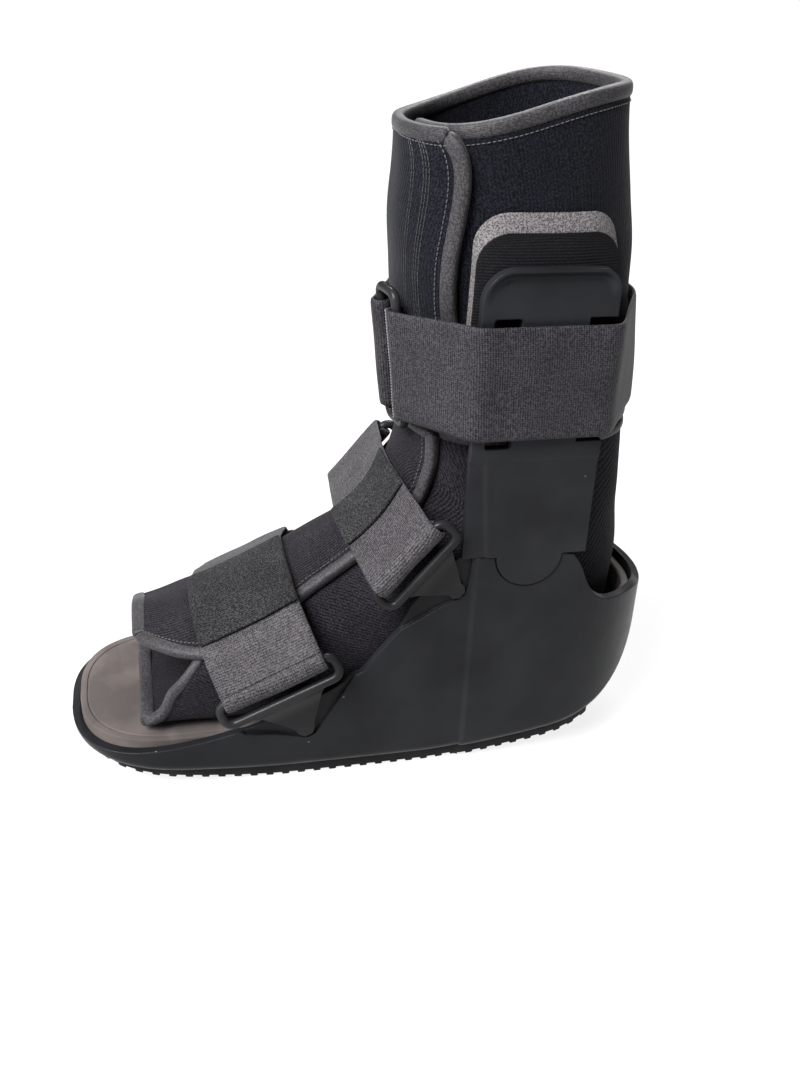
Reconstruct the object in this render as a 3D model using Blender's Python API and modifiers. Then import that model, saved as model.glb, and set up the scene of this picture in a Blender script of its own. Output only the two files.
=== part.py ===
"""Walking boot: a moulded shell on a rocker sole, side struts, a padded liner and webbing straps.

Metres, +Z up. The toe points to -X and the near side is -Y. The origin is on a tread rib's
flat bottom, midway across the sole.
"""

import math

import bmesh
import bpy
from mathutils import Matrix, Vector

# Shell
shell_length = 0.2890
shell_half_width = 0.0540
forefoot_half_width = 0.0515
toe_forward = 0.1460
toe_round = 0.055
heel_round = 0.058
shell_wall = 0.0040
recess_depth = 0.0018
shell_top = 0.118
heel_rim = 0.0775
floor_height = 0.0215
heel_floor = 0.0030
under_round = 0.0060
floor_round = 0.0020
clearance = 0.0003

# Sole
sole_thickness = 0.0070
toe_sole_thickness = 0.0040
rib_pitch = 0.0077
rib_share = 0.46
rib_depth = 0.0011
sole_inset = 0.0058
toe_rise = 0.0150
heel_rise = 0.0200
heel_lift = 0.0400

# Foam
footbed_top = 0.0290
heel_pad_thickness = 0.0040
heel_pad_drop = 0.0040
footbed_round = 0.0015
least_footbed = 0.0020

# Struts and their pads
strut_width = 0.0585
strut_top = 0.2490
strut_thickness = 0.0050
strut_proud = 0.0015
strut_edge = 0.0007
strut_front_round = 0.0140
strut_back_round = 0.0090
tab_radius = 0.0155
slot_width = 0.0120
slot_low = 0.1740
slot_high = 0.2290
slot_inset = 0.0055
slot_round = 0.0015
slot_drop = 0.0020
rivet_lift = 0.0040
rivet_hole = 0.0018
pad_thickness = 0.0050
pad_seat = 0.0016
pad_low = 0.1760
pad_high = 0.2690
pad_before = 0.0018
pad_behind = 0.0025
pad_room = 0.0018
pad_trim = 0.0010
pad_round = 0.0140

# Liner
liner_wall = 0.0040
foot_room = 0.0048
cuff_low = 0.1725
cuff_high = 0.3060
rim_drop = 0.0090
rim_climb = 0.0175
binding_radius = 0.0031

# Straps
strap_width = 0.0500
strap_thickness = 0.0020
tab_thickness = 0.0016
forefoot_tab_start = 0.0340
ankle_tab_start = 0.0400
tab_stop = 0.0600
ankle_share = 0.80
strap_return = 0.0018
calf_height = 0.1995
calf_climb = 0.0025
bar_radius = 0.0022
loop_length = 0.0570
loop_depth = 0.0110
loop_round = 0.0045
ring_round = 0.0040
forefoot_tongue = 0.0300
ankle_tongue = 0.0255
tongue_tip = 0.0018
tongue_neck = 0.0042
tongue_thickness = 0.0022
forefoot_loop_out = 0.0072
ankle_loop_out = 0.0045
loop_lean = 0.0018

toe_x = -toe_forward
heel_x = toe_x + shell_length
toe_end = toe_x + toe_round
heel_end = heel_x - heel_round
flat_front = toe_x + 0.349 * shell_length
flat_back = toe_x + 0.574 * shell_length
strut_front = toe_x + 0.619 * shell_length
strut_outer = shell_half_width + strut_proud
pad_front = strut_front - pad_before
pad_back = strut_front + strut_width + pad_behind
leg_half_width = strut_outer - strut_thickness - pad_thickness - pad_room
foot_half_width = shell_half_width - shell_wall - foot_room
round_angles = (8, 20, 33, 47, 62, 78)

COLOURS = {
    "shell_plastic": ((0.017, 0.018, 0.020), 0.38, 0.0),
    "tread_rubber": ((0.014, 0.014, 0.015), 0.75, 0.0),
    "foam": ((0.140, 0.115, 0.103), 0.90, 0.0),
    "liner_fabric": ((0.008, 0.008, 0.013), 0.95, 0.0),
    "binding_knit": ((0.024, 0.022, 0.024), 0.85, 0.0),
    "webbing": ((0.030, 0.029, 0.029), 0.85, 0.0),
    "hook_tape": ((0.014, 0.017, 0.015), 0.90, 0.0),
}


def clear_scene():
    for item in list(bpy.data.objects):
        bpy.data.objects.remove(item, do_unlink=True)


def collection(name, shown):
    group = bpy.data.collections.new(name)
    bpy.context.scene.collection.children.link(group)
    group.hide_render = not shown
    return group


clear_scene()
boot = collection("walking_boot", True)
cutters = collection("cutters", False)


def finish(item, slot, rounded=True):
    colour, roughness, metallic = COLOURS[slot]
    material = bpy.data.materials.new(item.name + "_" + slot)
    material.use_nodes = True
    shader = material.node_tree.nodes["Principled BSDF"]
    shader.inputs["Base Color"].default_value = (*colour, 1.0)
    shader.inputs["Roughness"].default_value = roughness
    shader.inputs["Metallic"].default_value = metallic
    item.data.materials.clear()
    item.data.materials.append(material)
    for face in item.data.polygons:
        face.use_smooth = rounded
    return item


def add_mesh(name, points, faces, group=boot):
    mesh = bpy.data.meshes.new(name)
    mesh.from_pydata([tuple(point) for point in points], [], faces)
    mesh.update()
    item = bpy.data.objects.new(name, mesh)
    group.objects.link(item)
    if group is cutters:
        item.hide_render = True
        item.display_type = "WIRE"
    return item


def as_mesh(item, name, group=boot):
    """The curve object as a mesh object with its caps welded to its sides."""
    bpy.context.view_layer.update()
    graph = bpy.context.evaluated_depsgraph_get()
    mesh = bpy.data.meshes.new_from_object(item.evaluated_get(graph))
    made = bpy.data.objects.new(name, mesh)
    group.objects.link(made)
    made.matrix_world = item.matrix_world.copy()
    bpy.data.objects.remove(item, do_unlink=True)
    weld(made)
    if group is cutters:
        made.hide_render = True
        made.display_type = "WIRE"
    return made


def weld(item):
    work = bmesh.new()
    work.from_mesh(item.data)
    bmesh.ops.remove_doubles(work, verts=work.verts, dist=1e-6)
    bmesh.ops.recalc_face_normals(work, faces=work.faces)
    work.to_mesh(item.data)
    work.free()


def apply_modifiers(item):
    bpy.context.view_layer.update()
    graph = bpy.context.evaluated_depsgraph_get()
    mesh = bpy.data.meshes.new_from_object(item.evaluated_get(graph))
    item.modifiers.clear()
    item.data = mesh


def boolean(item, other, operation="DIFFERENCE"):
    step = item.modifiers.new(operation.lower(), "BOOLEAN")
    step.operation = operation
    step.solver = "EXACT"
    step.object = other
    apply_modifiers(item)


def loft(name, rings, group=boot):
    """A solid through closed rings of equal length, capped at both ends."""
    count = len(rings[0])
    points = [point for ring in rings for point in ring]
    faces = []
    for row in range(len(rings) - 1):
        for column in range(count):
            here = row * count + column
            beside = row * count + (column + 1) % count
            faces.append((here, beside, beside + count, here + count))
    faces.append(tuple(range(count - 1, -1, -1)))
    faces.append(tuple(range(len(points) - count, len(points))))
    item = add_mesh(name, points, faces, group)
    weld(item)
    return item


def sheet(name, rows, thickness, group=boot):
    """A wall of even thickness round a grid of points on its middle surface."""
    count = len(rows[0])
    points = [point for row in rows for point in row]
    faces = []
    for row in range(len(rows) - 1):
        for column in range(count - 1):
            here = row * count + column
            faces.append((here, here + 1, here + count + 1, here + count))
    item = add_mesh(name, points, faces, group)
    wall = item.modifiers.new("wall", "SOLIDIFY")
    wall.thickness = thickness
    wall.offset = 0.0
    wall.use_even_offset = True
    wall.use_quality_normals = True
    apply_modifiers(item)
    weld(item)
    return item


def flat_curve(name, outlines, thickness, edge=0.0):
    """A filled 2D curve in its own XY plane, centred on its thickness, with rounded edges."""
    data = bpy.data.curves.new(name + "_curve", "CURVE")
    data.dimensions = "2D"
    data.fill_mode = "BOTH"
    data.extrude = thickness / 2 - edge
    data.bevel_depth = edge
    data.bevel_resolution = 1
    data.offset = -edge
    for outline in outlines:
        spline = data.splines.new("POLY")
        spline.points.add(len(outline) - 1)
        for point, (x, y) in zip(spline.points, outline):
            point.co = (x, y, 0.0, 1.0)
        spline.use_cyclic_u = True
    item = bpy.data.objects.new(name + "_curve", data)
    bpy.context.scene.collection.objects.link(item)
    return item


def side_plate(name, outlines, middle, thickness, edge=0.0, group=boot):
    """A plate whose outline is drawn in X and Z and whose middle plane is at this Y."""
    item = flat_curve(name, outlines, thickness, edge)
    item.matrix_world = Matrix.Translation((0, middle, 0)) @ Matrix.Rotation(math.pi / 2, 4, "X")
    made = as_mesh(item, name, group)
    settle(made)
    return made


def floor_plate(name, outline, low, high, edge=0.0, group=boot):
    item = flat_curve(name, [outline], high - low, edge)
    item.matrix_world = Matrix.Translation((0, 0, (low + high) / 2))
    made = as_mesh(item, name, group)
    settle(made)
    return made


def settle(item):
    """The object's placement moved into its mesh."""
    item.data.transform(item.matrix_world)
    if item.matrix_world.determinant() < 0:
        item.data.flip_normals()
    item.matrix_world = Matrix.Identity(4)


def rod(name, path, radius, closed=False, sides=2, group=boot):
    data = bpy.data.curves.new(name + "_curve", "CURVE")
    data.dimensions = "3D"
    data.bevel_depth = radius
    data.bevel_resolution = sides
    data.use_fill_caps = not closed
    spline = data.splines.new("POLY")
    spline.points.add(len(path) - 1)
    for point, place in zip(spline.points, path):
        point.co = (*place, 1.0)
    spline.use_cyclic_u = closed
    item = bpy.data.objects.new(name + "_curve", data)
    bpy.context.scene.collection.objects.link(item)
    return as_mesh(item, name, group)


def mirrored(item, name):
    """The same piece for the far side, as its own object."""
    mesh = item.data.copy()
    mesh.transform(Matrix.Scale(-1, 4, (0, 1, 0)))
    mesh.flip_normals()
    made = bpy.data.objects.new(name, mesh)
    boot.objects.link(made)
    return made


def smooth_step(low, high, value):
    share = min(max((value - low) / (high - low), 0.0), 1.0)
    return share * share * (3 - 2 * share)


def between(table, key):
    """Each column of a table at this key, by straight lines between its rows."""
    if key <= table[0][0]:
        return table[0][1:]
    for before, after in zip(table, table[1:]):
        if key <= after[0]:
            share = (key - before[0]) / (after[0] - before[0])
            return tuple(a + (b - a) * share for a, b in zip(before[1:], after[1:]))
    return table[-1][1:]


def arc(centre, radius, start, end, steps):
    """Points on an arc, its angles in degrees."""
    turns = [math.radians(start + (end - start) * step / steps) for step in range(steps + 1)]
    return [(centre[0] + radius * math.cos(t), centre[1] + radius * math.sin(t)) for t in turns]


def round_box(low, high, radius, steps=3):
    """A box outline with round corners, anticlockwise."""
    radius = min(radius, (high[0] - low[0]) / 2.6, (high[1] - low[1]) / 2.6)
    return (
        arc((high[0] - radius, low[1] + radius), radius, -90, 0, steps)
        + arc((high[0] - radius, high[1] - radius), radius, 0, 90, steps)
        + arc((low[0] + radius, high[1] - radius), radius, 90, 180, steps)
        + arc((low[0] + radius, low[1] + radius), radius, 180, 270, steps)
    )


def half_width(x, inset=0.0):
    """Half the boot's width at x, inside the plan outline by the inset."""
    panel_step = shell_half_width - 0.972 * shell_half_width
    bulge = panel_step * smooth_step(toe_x + 0.63 * shell_length, toe_x + 0.655 * shell_length, x)
    rise = smooth_step(toe_end, toe_x + 0.55 * shell_length, x)
    full = forefoot_half_width + (0.972 * shell_half_width - forefoot_half_width) * rise + bulge
    if x < toe_end:
        share = min((toe_end - x) / (toe_round - inset), 1.0)
        return (full - inset) * (1 - share**2.6) ** (1 / 2.6)
    if x > heel_end:
        share = min((x - heel_end) / (heel_round - inset), 1.0)
        return (full - inset) * (1 - share**2.0) ** 0.5
    return full - inset


def stations(inset, middle=16):
    """Places along the boot, close together where its ends turn."""
    front = [toe_end - (toe_round - inset) * math.cos(math.radians(a)) for a in round_angles]
    back = [heel_end + (heel_round - inset) * math.cos(math.radians(a)) for a in round_angles]
    span = heel_end - toe_end
    return front + [toe_end + span * step / middle for step in range(middle + 1)] + back[::-1]


def plan_outline(inset):
    places = stations(inset)
    near = [(x, -half_width(x, inset)) for x in places]
    far = [(x, half_width(x, inset)) for x in places]
    return near + far[::-1]


def tread_height(x):
    """The lowest line of the sole: flat in the middle and rising to the toe and the heel."""
    if x < flat_front:
        return toe_rise * ((flat_front - x) / (flat_front - toe_x)) ** 1.6
    if x > flat_back:
        share = (x - flat_back) / (heel_x - flat_back)
        return heel_rise * share**1.5 + heel_lift * share**8
    return 0.0


def sole_depth(x):
    share = smooth_step(flat_front, toe_x, x)
    return sole_thickness + (toe_sole_thickness - sole_thickness) * share


def shell_under(x):
    return tread_height(x) + sole_depth(x) + clearance


def tub_ring(x, width, low, high, radius):
    """One section across the boot, with round lower corners."""
    radius = min(radius, 0.8 * width, 0.8 * (high - low))
    near = arc((-width + radius, low + radius), radius, 180, 270, 3)
    far = arc((width - radius, low + radius), radius, 270, 360, 3)
    return [(x, y, z) for y, z in [(-width, high)] + near + far + [(width, high)]]


def tub(name, inset, low_of, high, radius):
    rings = [
        tub_ring(x, half_width(x, inset), low_of(x), high, radius) for x in stations(inset)
    ]
    return loft(name, rings, cutters)


def along(share):
    return toe_x + share * shell_length


# The side's top line from toe to heel: share of the shell's length, share of its height.
TOP_LINE = (
    (-0.02, 0.200), (0.08, 0.203), (0.20, 0.237), (0.262, 0.270), (0.300, 0.293),
    (0.415, 0.427), (0.453, 0.496), (0.471, 0.521), (0.499, 0.611), (0.528, 0.700),
    (0.537, 0.745), (0.553, 0.822), (0.615, 0.990), (0.640, 1.000),
)
HEEL_LINE = (
    (0.805, 0.987), (0.820, 0.932), (0.835, 0.850), (0.853, 0.787), (0.875, 0.750),
    (0.900, 0.737), (0.925, 0.732), (0.955, 0.715), (0.980, 0.682),
)


def shell_top_outline():
    """The part of the side view above the shell, which is cut away."""
    tab_x = strut_front + 0.54 * strut_width
    line = [(along(share), height * shell_top) for share, height in TOP_LINE]
    notch = arc((tab_x, shell_top), tab_radius + clearance, 180, 360, 8)
    back = [(along(share), height * shell_top) for share, height in HEEL_LINE]
    back.append((heel_x + 0.01, heel_rim))
    top = 2 * shell_top
    return line + notch + back + [(heel_x + 0.01, top), (toe_x - 0.01, top)]


# Each pocket beside a strap loop: share of the shell's length, share of its height.
FOREFOOT_POCKET = (
    (0.278, 0.262), (0.330, 0.248), (0.372, 0.222), (0.383, 0.222), (0.392, 0.235),
    (0.400, 0.262), (0.453, 0.491), (0.440, 0.620), (0.300, 0.500), (0.250, 0.330),
)
ANKLE_POCKET = (
    (0.527, 0.696), (0.555, 0.735), (0.585, 0.779), (0.618, 0.815), (0.628, 0.835),
    (0.634, 0.868), (0.637, 0.944), (0.639, 1.100), (0.560, 1.100), (0.500, 0.800),
)


def pocket_cutter(name, shares, shell_core):
    outline = [(along(share), height * shell_top) for share, height in shares]
    cutter = side_plate(name, [outline], 0.0, 4 * shell_half_width, group=cutters)
    boolean(cutter, shell_core)
    return cutter


def floor_at(x):
    """The shell's inner floor, which rises with the heel."""
    return max(floor_height, shell_under(x) + heel_floor)


def inner_room(name):
    """The hollow of the shell with a little clearance all round."""
    inset = shell_wall + clearance
    return tub(name, inset, lambda x: floor_at(x) + clearance, 1.4 * shell_top, floor_round)


def build_shell():
    shell = tub("shell_outer", 0.0, shell_under, 1.2 * shell_top, under_round)
    core_round = under_round - recess_depth
    low_of = lambda x: shell_under(x) + recess_depth / 2
    core = tub("shell_core", recess_depth, low_of, 1.4 * shell_top, core_round)
    hollow = tub("shell_hollow", shell_wall, floor_at, 1.4 * shell_top, floor_round)
    above = side_plate(
        "above_shell", [shell_top_outline()], 0.0, 4 * shell_half_width, group=cutters
    )
    boolean(shell, above)
    boolean(shell, pocket_cutter("forefoot_pocket", FOREFOOT_POCKET, core))
    boolean(shell, pocket_cutter("ankle_pocket", ANKLE_POCKET, core))
    boolean(shell, hollow)
    made = add_mesh("shell", [], [])
    made.data = shell.data.copy()
    return finish(made, "shell_plastic", False)


def build_outsole():
    front = along(0.014)
    back = along(0.895)
    rib = rib_pitch * rib_share
    first = -int((-rib / 2 - front) / rib_pitch)
    last = int((back - rib) / rib_pitch)
    under = []
    for number in range(first, last + 1):
        start = number * rib_pitch - rib / 2
        for x, lift in ((start, rib_depth), (start, 0), (start + rib, 0), (start + rib, rib_depth)):
            under.append((x, tread_height(x) + lift))
    over = [x for x in stations(0.0) if under[0][0] < x < under[-1][0]]
    top = [under[-1][0]] + over[::-1] + [under[0][0]]
    outline = under + [(x, tread_height(x) + sole_depth(x)) for x in top]
    sole = side_plate("outsole", [outline], 0.0, 4 * shell_half_width)
    plan = floor_plate("sole_plan", plan_outline(sole_inset), -shell_top, shell_top, group=cutters)
    boolean(sole, plan, "INTERSECT")
    return finish(sole, "tread_rubber", False)


def build_footbed():
    inset = shell_wall + clearance
    rings = []
    for x in stations(inset):
        low = floor_at(x) + clearance
        if low < footbed_top - least_footbed:
            rings.append(tub_ring(x, half_width(x, inset), low, footbed_top, footbed_round))
    return finish(loft("footbed", rings), "foam")


def build_heel_pad():
    inset = shell_wall + 1.5 * clearance + heel_pad_thickness / 2
    start = along(0.80)
    places = [x for x in stations(inset) if x > start]
    path = [(x, -half_width(x, inset)) for x in places]
    path += [(x, half_width(x, inset)) for x in places[::-1]]
    low = footbed_top + clearance
    rows = []
    for x, y in path:
        height = between(HEEL_LINE, (x - toe_x) / shell_length)[0] * shell_top - heel_pad_drop
        rows.append([(x, y, low + (height - low) * step / 4) for step in range(5)])
    pad = sheet("heel_pad", rows, heel_pad_thickness)
    boolean(pad, inner_room("heel_pad_room"), "INTERSECT")
    return finish(pad, "foam")


def build_struts():
    back = strut_front + strut_width
    tab_x = strut_front + 0.54 * strut_width
    low = shell_top + clearance
    front_corner = (strut_front + strut_front_round, strut_top - strut_front_round)
    outline = (
        [(strut_front, low)]
        + arc((tab_x, low), tab_radius, 180, 360, 8)
        + [(back, low), (back, slot_low), (back - slot_width, slot_low)]
        + [(back - slot_width, slot_high), (back, slot_high)]
        + arc((back - strut_back_round, strut_top - strut_back_round), strut_back_round, 0, 90, 3)
        + arc(front_corner, strut_front_round, 90, 180, 4)
    )
    slot_x = strut_front + slot_inset
    slot = round_box((slot_x, slot_low - slot_drop), (slot_x + slot_width, slot_high), slot_round, 2)
    holes = [
        arc((strut_front + share * strut_width, slot_low + rivet_lift), rivet_hole, 0, 315, 7)
        for share in (0.54, 0.69)
    ]
    middle = -(strut_outer - strut_thickness / 2)
    near = side_plate("upright_near", [outline, slot] + holes, middle, strut_thickness, strut_edge)
    finish(near, "shell_plastic", False)
    finish(mirrored(near, "upright_far"), "shell_plastic", False)


# The leg part, as shares: height of the cuff's, back and front places along the shell, half width of
# the leg's. Chosen by hand, of the named sizes that they follow.
LEG_TABLE = (
    (0.4902, 0.9256, 0.5727, 1.00), (0.5621, 0.9187, 0.5692, 1.00), (0.6667, 0.9107, 0.5612, 1.00),
    (0.7418, 0.8997, 0.5474, 1.00), (0.8007, 0.8934, 0.5398, 1.00), (0.8562, 0.8817, 0.5374, 0.98),
    (0.9444, 0.8644, 0.5426, 0.96), (1.0131, 0.8512, 0.5554, 0.95),
)
# The foot part, as shares: place along the shell and height of the shell's for the under point and
# the upper one, half width of the foot's, then how square it is below and above. Chosen by hand, of
# the named sizes that they follow.
FOOT_TABLE = (
    (0.1176, 0.2585, 0.1142, 0.5424, 0.960, 6.0, 2.3),
    (0.1453, 0.2585, 0.1453, 0.5720, 0.965, 6.0, 2.3),
    (0.1765, 0.2585, 0.1782, 0.6017, 0.975, 6.0, 2.3),
    (0.2076, 0.2585, 0.2093, 0.6314, 0.980, 6.0, 2.3),
    (0.2422, 0.2585, 0.2405, 0.6610, 0.990, 6.0, 2.3),
    (0.3149, 0.2585, 0.3080, 0.7305, 1.000, 6.0, 2.3),
    (0.3945, 0.2585, 0.3702, 0.7966, 1.000, 6.0, 2.3),
    (0.4879, 0.2585, 0.4291, 0.8729, 1.000, 6.0, 2.3),
    (0.5917, 0.2585, 0.4740, 0.9449, 1.000, 5.5, 2.3),
    (0.7059, 0.2585, 0.5121, 1.0297, 0.990, 5.0, 2.4),
    (0.8131, 0.2797, 0.5363, 1.1186, 0.970, 3.2, 2.4),
    (0.8962, 0.3729, 0.5519, 1.2119, 0.960, 2.4, 2.5),
    (0.9360, 0.5424, 0.5623, 1.2966, 0.960, 2.2, 2.5),
    (0.9446, 0.7627, 0.5675, 1.3475, 0.965, 2.2, 2.5),
    (0.9343, 1.0593, 0.5692, 1.3983, 0.970, 2.3, 2.5),
    (0.9187, 1.4407, 0.5692, 1.4449, 0.973, 2.5, 2.5),
)


def liner_point(row, turn, out):
    """A point round the liner: 0 is below or behind, 90 is near, 180 is above or in front."""
    under_x, under_z, upper_x, upper_z, width, square_under, square_upper = row
    depth = math.hypot(upper_x - under_x, upper_z - under_z)
    ahead = ((upper_x - under_x) / depth, (upper_z - under_z) / depth)
    cosine = math.cos(math.radians(turn))
    sine = math.sin(math.radians(turn))
    power = 2 / (square_under if cosine > 0 else square_upper)
    reach = -math.copysign(abs(cosine) ** power, cosine) * (depth / 2 + out)
    side = -math.copysign(abs(sine) ** power, sine) * (width + out)
    middle = ((under_x + upper_x) / 2, (under_z + upper_z) / 2)
    return (middle[0] + ahead[0] * reach, side, middle[1] + ahead[1] * reach)


def leg_row(height):
    back, front, width = between(LEG_TABLE, height / cuff_high)
    return (along(back), height, along(front), height, width * leg_half_width, 2.5, 2.5)


def foot_row(number):
    under_x, under_z, upper_x, upper_z, width = FOOT_TABLE[number][:5]
    low, high = (along(under_x), under_z * shell_top), (along(upper_x), upper_z * shell_top)
    return (*low, *high, width * foot_half_width) + FOOT_TABLE[number][5:]


# Where the sheet starts and ends round each foot row, in degrees, start under the flap.
FOOT_ENDS = (
    (56, 164), (82, 150), (104, 137), (124, 128), (142, 124), (160, 129), (164, 141),
    (165, 148), (165, 151), (165, 151), (160, 148), (155, 146), (150, 146), (150, 146),
    (150, 146), (150, 146),
)
# The cuff flap's free edge: share of the cuff's height, degrees round the leg.
CUFF_EDGE = (
    (0.5621, 134), (0.7190, 134), (0.7484, 134), (0.8039, 132), (0.8562, 128), (0.9052, 126),
    (0.9412, 129), (0.9673, 138), (0.9804, 142), (1.0131, 149),
)
liner_lap = liner_wall + 2 * clearance
# Where the calf ring's near and far bars stand round the leg, in degrees.
ring_turns = (160, 177)


def liner_outside(row, end, turn):
    """A point on the outside of the liner, over the flap where it laps."""
    start = 150
    share = (start + 360 - turn) / (start + 360 - end)
    lap = liner_lap * smooth_step(0.74, 0.90, share) if turn > end - 6 else 0.0
    return liner_point(row, turn, lap)


def liner_layer(rows, ends, columns):
    """The liner's middle surface: it starts near the front, goes round the back and ends over itself."""
    grid = []
    for row, (start, end) in zip(rows, ends):
        sweep = start + 360 - end
        line = []
        for column in range(columns + 1):
            share = column / columns
            out = liner_lap * smooth_step(0.74, 0.90, share) - liner_wall / 2
            line.append(liner_point(row, start - sweep * share, out))
        grid.append(line)
    return grid


def rim_height(x):
    """The cuff's top edge, which climbs from the front to the back."""
    return cuff_high - rim_drop + rim_climb * smooth_step(along(0.54), along(0.83), x)


def build_liner():
    foot_rows = [foot_row(number) for number in range(len(FOOT_TABLE))]
    foot = liner_layer(foot_rows, FOOT_ENDS, 26)
    finish(sheet("liner_foot", foot, liner_wall), "liner_fabric")
    heights = [cuff_low + (rim_height(0) - cuff_low) * step / 8 for step in range(8)]
    ends = [(168, between(CUFF_EDGE, height / cuff_high)[0]) for height in heights]
    cuff = liner_layer([leg_row(height) for height in heights], ends, 30)
    span = heights[-1] - cuff_low
    for number, line in enumerate(cuff):
        for place, (x, y, z) in enumerate(line):
            lift = (rim_height(x) - heights[-1]) * ((z - cuff_low) / span) ** 2
            line[place] = (x, y, z + lift)
    finish(sheet("liner_cuff", cuff, liner_wall), "liner_fabric")
    return foot, cuff


def beside(edge, inner, reach, lift=0.0, centres=None):
    """A path parallel to a sheet's edge, off it by the reach and lifted away from the centres."""
    path = []
    for number, (here, before) in enumerate(zip(edge, inner)):
        place = Vector(here) + (Vector(here) - Vector(before)).normalized() * reach
        if centres:
            place += (Vector(here) - centres[number]).normalized() * lift
        path.append(place)
    return path


def middle_of(points):
    return sum((Vector(point) for point in points), Vector()) / len(points)


beads = {}


def build_bindings(foot, cuff):
    slim = liner_lap / 2 - clearance
    path = beside(cuff[-1], cuff[-2], slim + 2 * clearance)
    finish(rod("binding_cuff_top", path, slim, sides=1), "binding_knit")
    reach = binding_radius + 2 * clearance
    lift = binding_radius - liner_lap + liner_wall / 2 + 5 * clearance
    for name, grid in (("binding_cuff_flap", cuff), ("binding_foot_flap", foot)):
        centres = [middle_of(row) for row in grid]
        path = beside([row[-1] for row in grid], [row[-2] for row in grid], reach, lift, centres)
        finish(rod(name, path, binding_radius, sides=1), "binding_knit")
        beads[name] = path


def cuff_side(x, z, out):
    """How far sideways the leg part reaches at this place, taken this far outside it."""
    back, front, width = between(LEG_TABLE, z / cuff_high)
    back, front = along(back), along(front)
    share = min(abs(x - (back + front) / 2) / ((back - front) / 2 + out), 0.999)
    return (width * leg_half_width + out) * (1 - share**2.5) ** 0.4


def build_pads():
    rows = []
    for step in range(7):
        z = pad_low + (pad_high - pad_low) * step / 6
        line = []
        for place in range(11):
            x = pad_front + (pad_back - pad_front) * place / 10
            line.append((x, -cuff_side(x, z, pad_seat + pad_thickness / 2), z))
        rows.append(line)
    near = sheet("upright_pad_near", rows, pad_thickness)
    low, high = (pad_front + pad_trim, pad_low + pad_trim), (pad_back - pad_trim, pad_high - pad_trim)
    trim = round_box(low, high, pad_round)
    cutter = side_plate("pad_trim", [trim], 0.0, 4 * shell_half_width, group=cutters)
    boolean(near, cutter, "INTERSECT")
    finish(near, "foam")
    finish(mirrored(near, "upright_pad_far"), "foam")


def hull(points):
    """The convex outline of some 2D points, anticlockwise from the lowest X."""
    points = sorted(set(points))
    chains = []
    for ordered in (points, points[::-1]):
        chain = []
        for point in ordered:
            while len(chain) > 1 and turn_of(chain[-2], chain[-1], point) <= 0:
                chain.pop()
            chain.append(point)
        chains.append(chain[:-1])
    return chains[0] + chains[1]


def turn_of(a, b, c):
    return (b[0] - a[0]) * (c[1] - a[1]) - (b[1] - a[1]) * (c[0] - a[0])


def spread(points, radius, step=30):
    """Each point with a small circle round it, so that a hull stands off by the radius."""
    around = [math.radians(turn) for turn in range(0, 360, step)]
    return [(x + radius * math.cos(t), y + radius * math.sin(t)) for x, y in points for t in around]


def evenly(path, count, first=0.0, last=None):
    """Points at even distances along a path, between two distances from its start."""
    lengths = [0.0]
    for a, b in zip(path, path[1:]):
        lengths.append(lengths[-1] + math.dist(a, b))
    last = lengths[-1] if last is None else lengths[-1] + last if last < 0 else last
    made = []
    for step in range(count + 1):
        goal = first + (last - first) * step / count
        number = 0
        while number < len(lengths) - 2 and lengths[number + 1] < goal:
            number += 1
        share = (goal - lengths[number]) / (lengths[number + 1] - lengths[number])
        made.append(tuple(p + (q - p) * share for p, q in zip(path[number], path[number + 1])))
    return made


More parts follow.
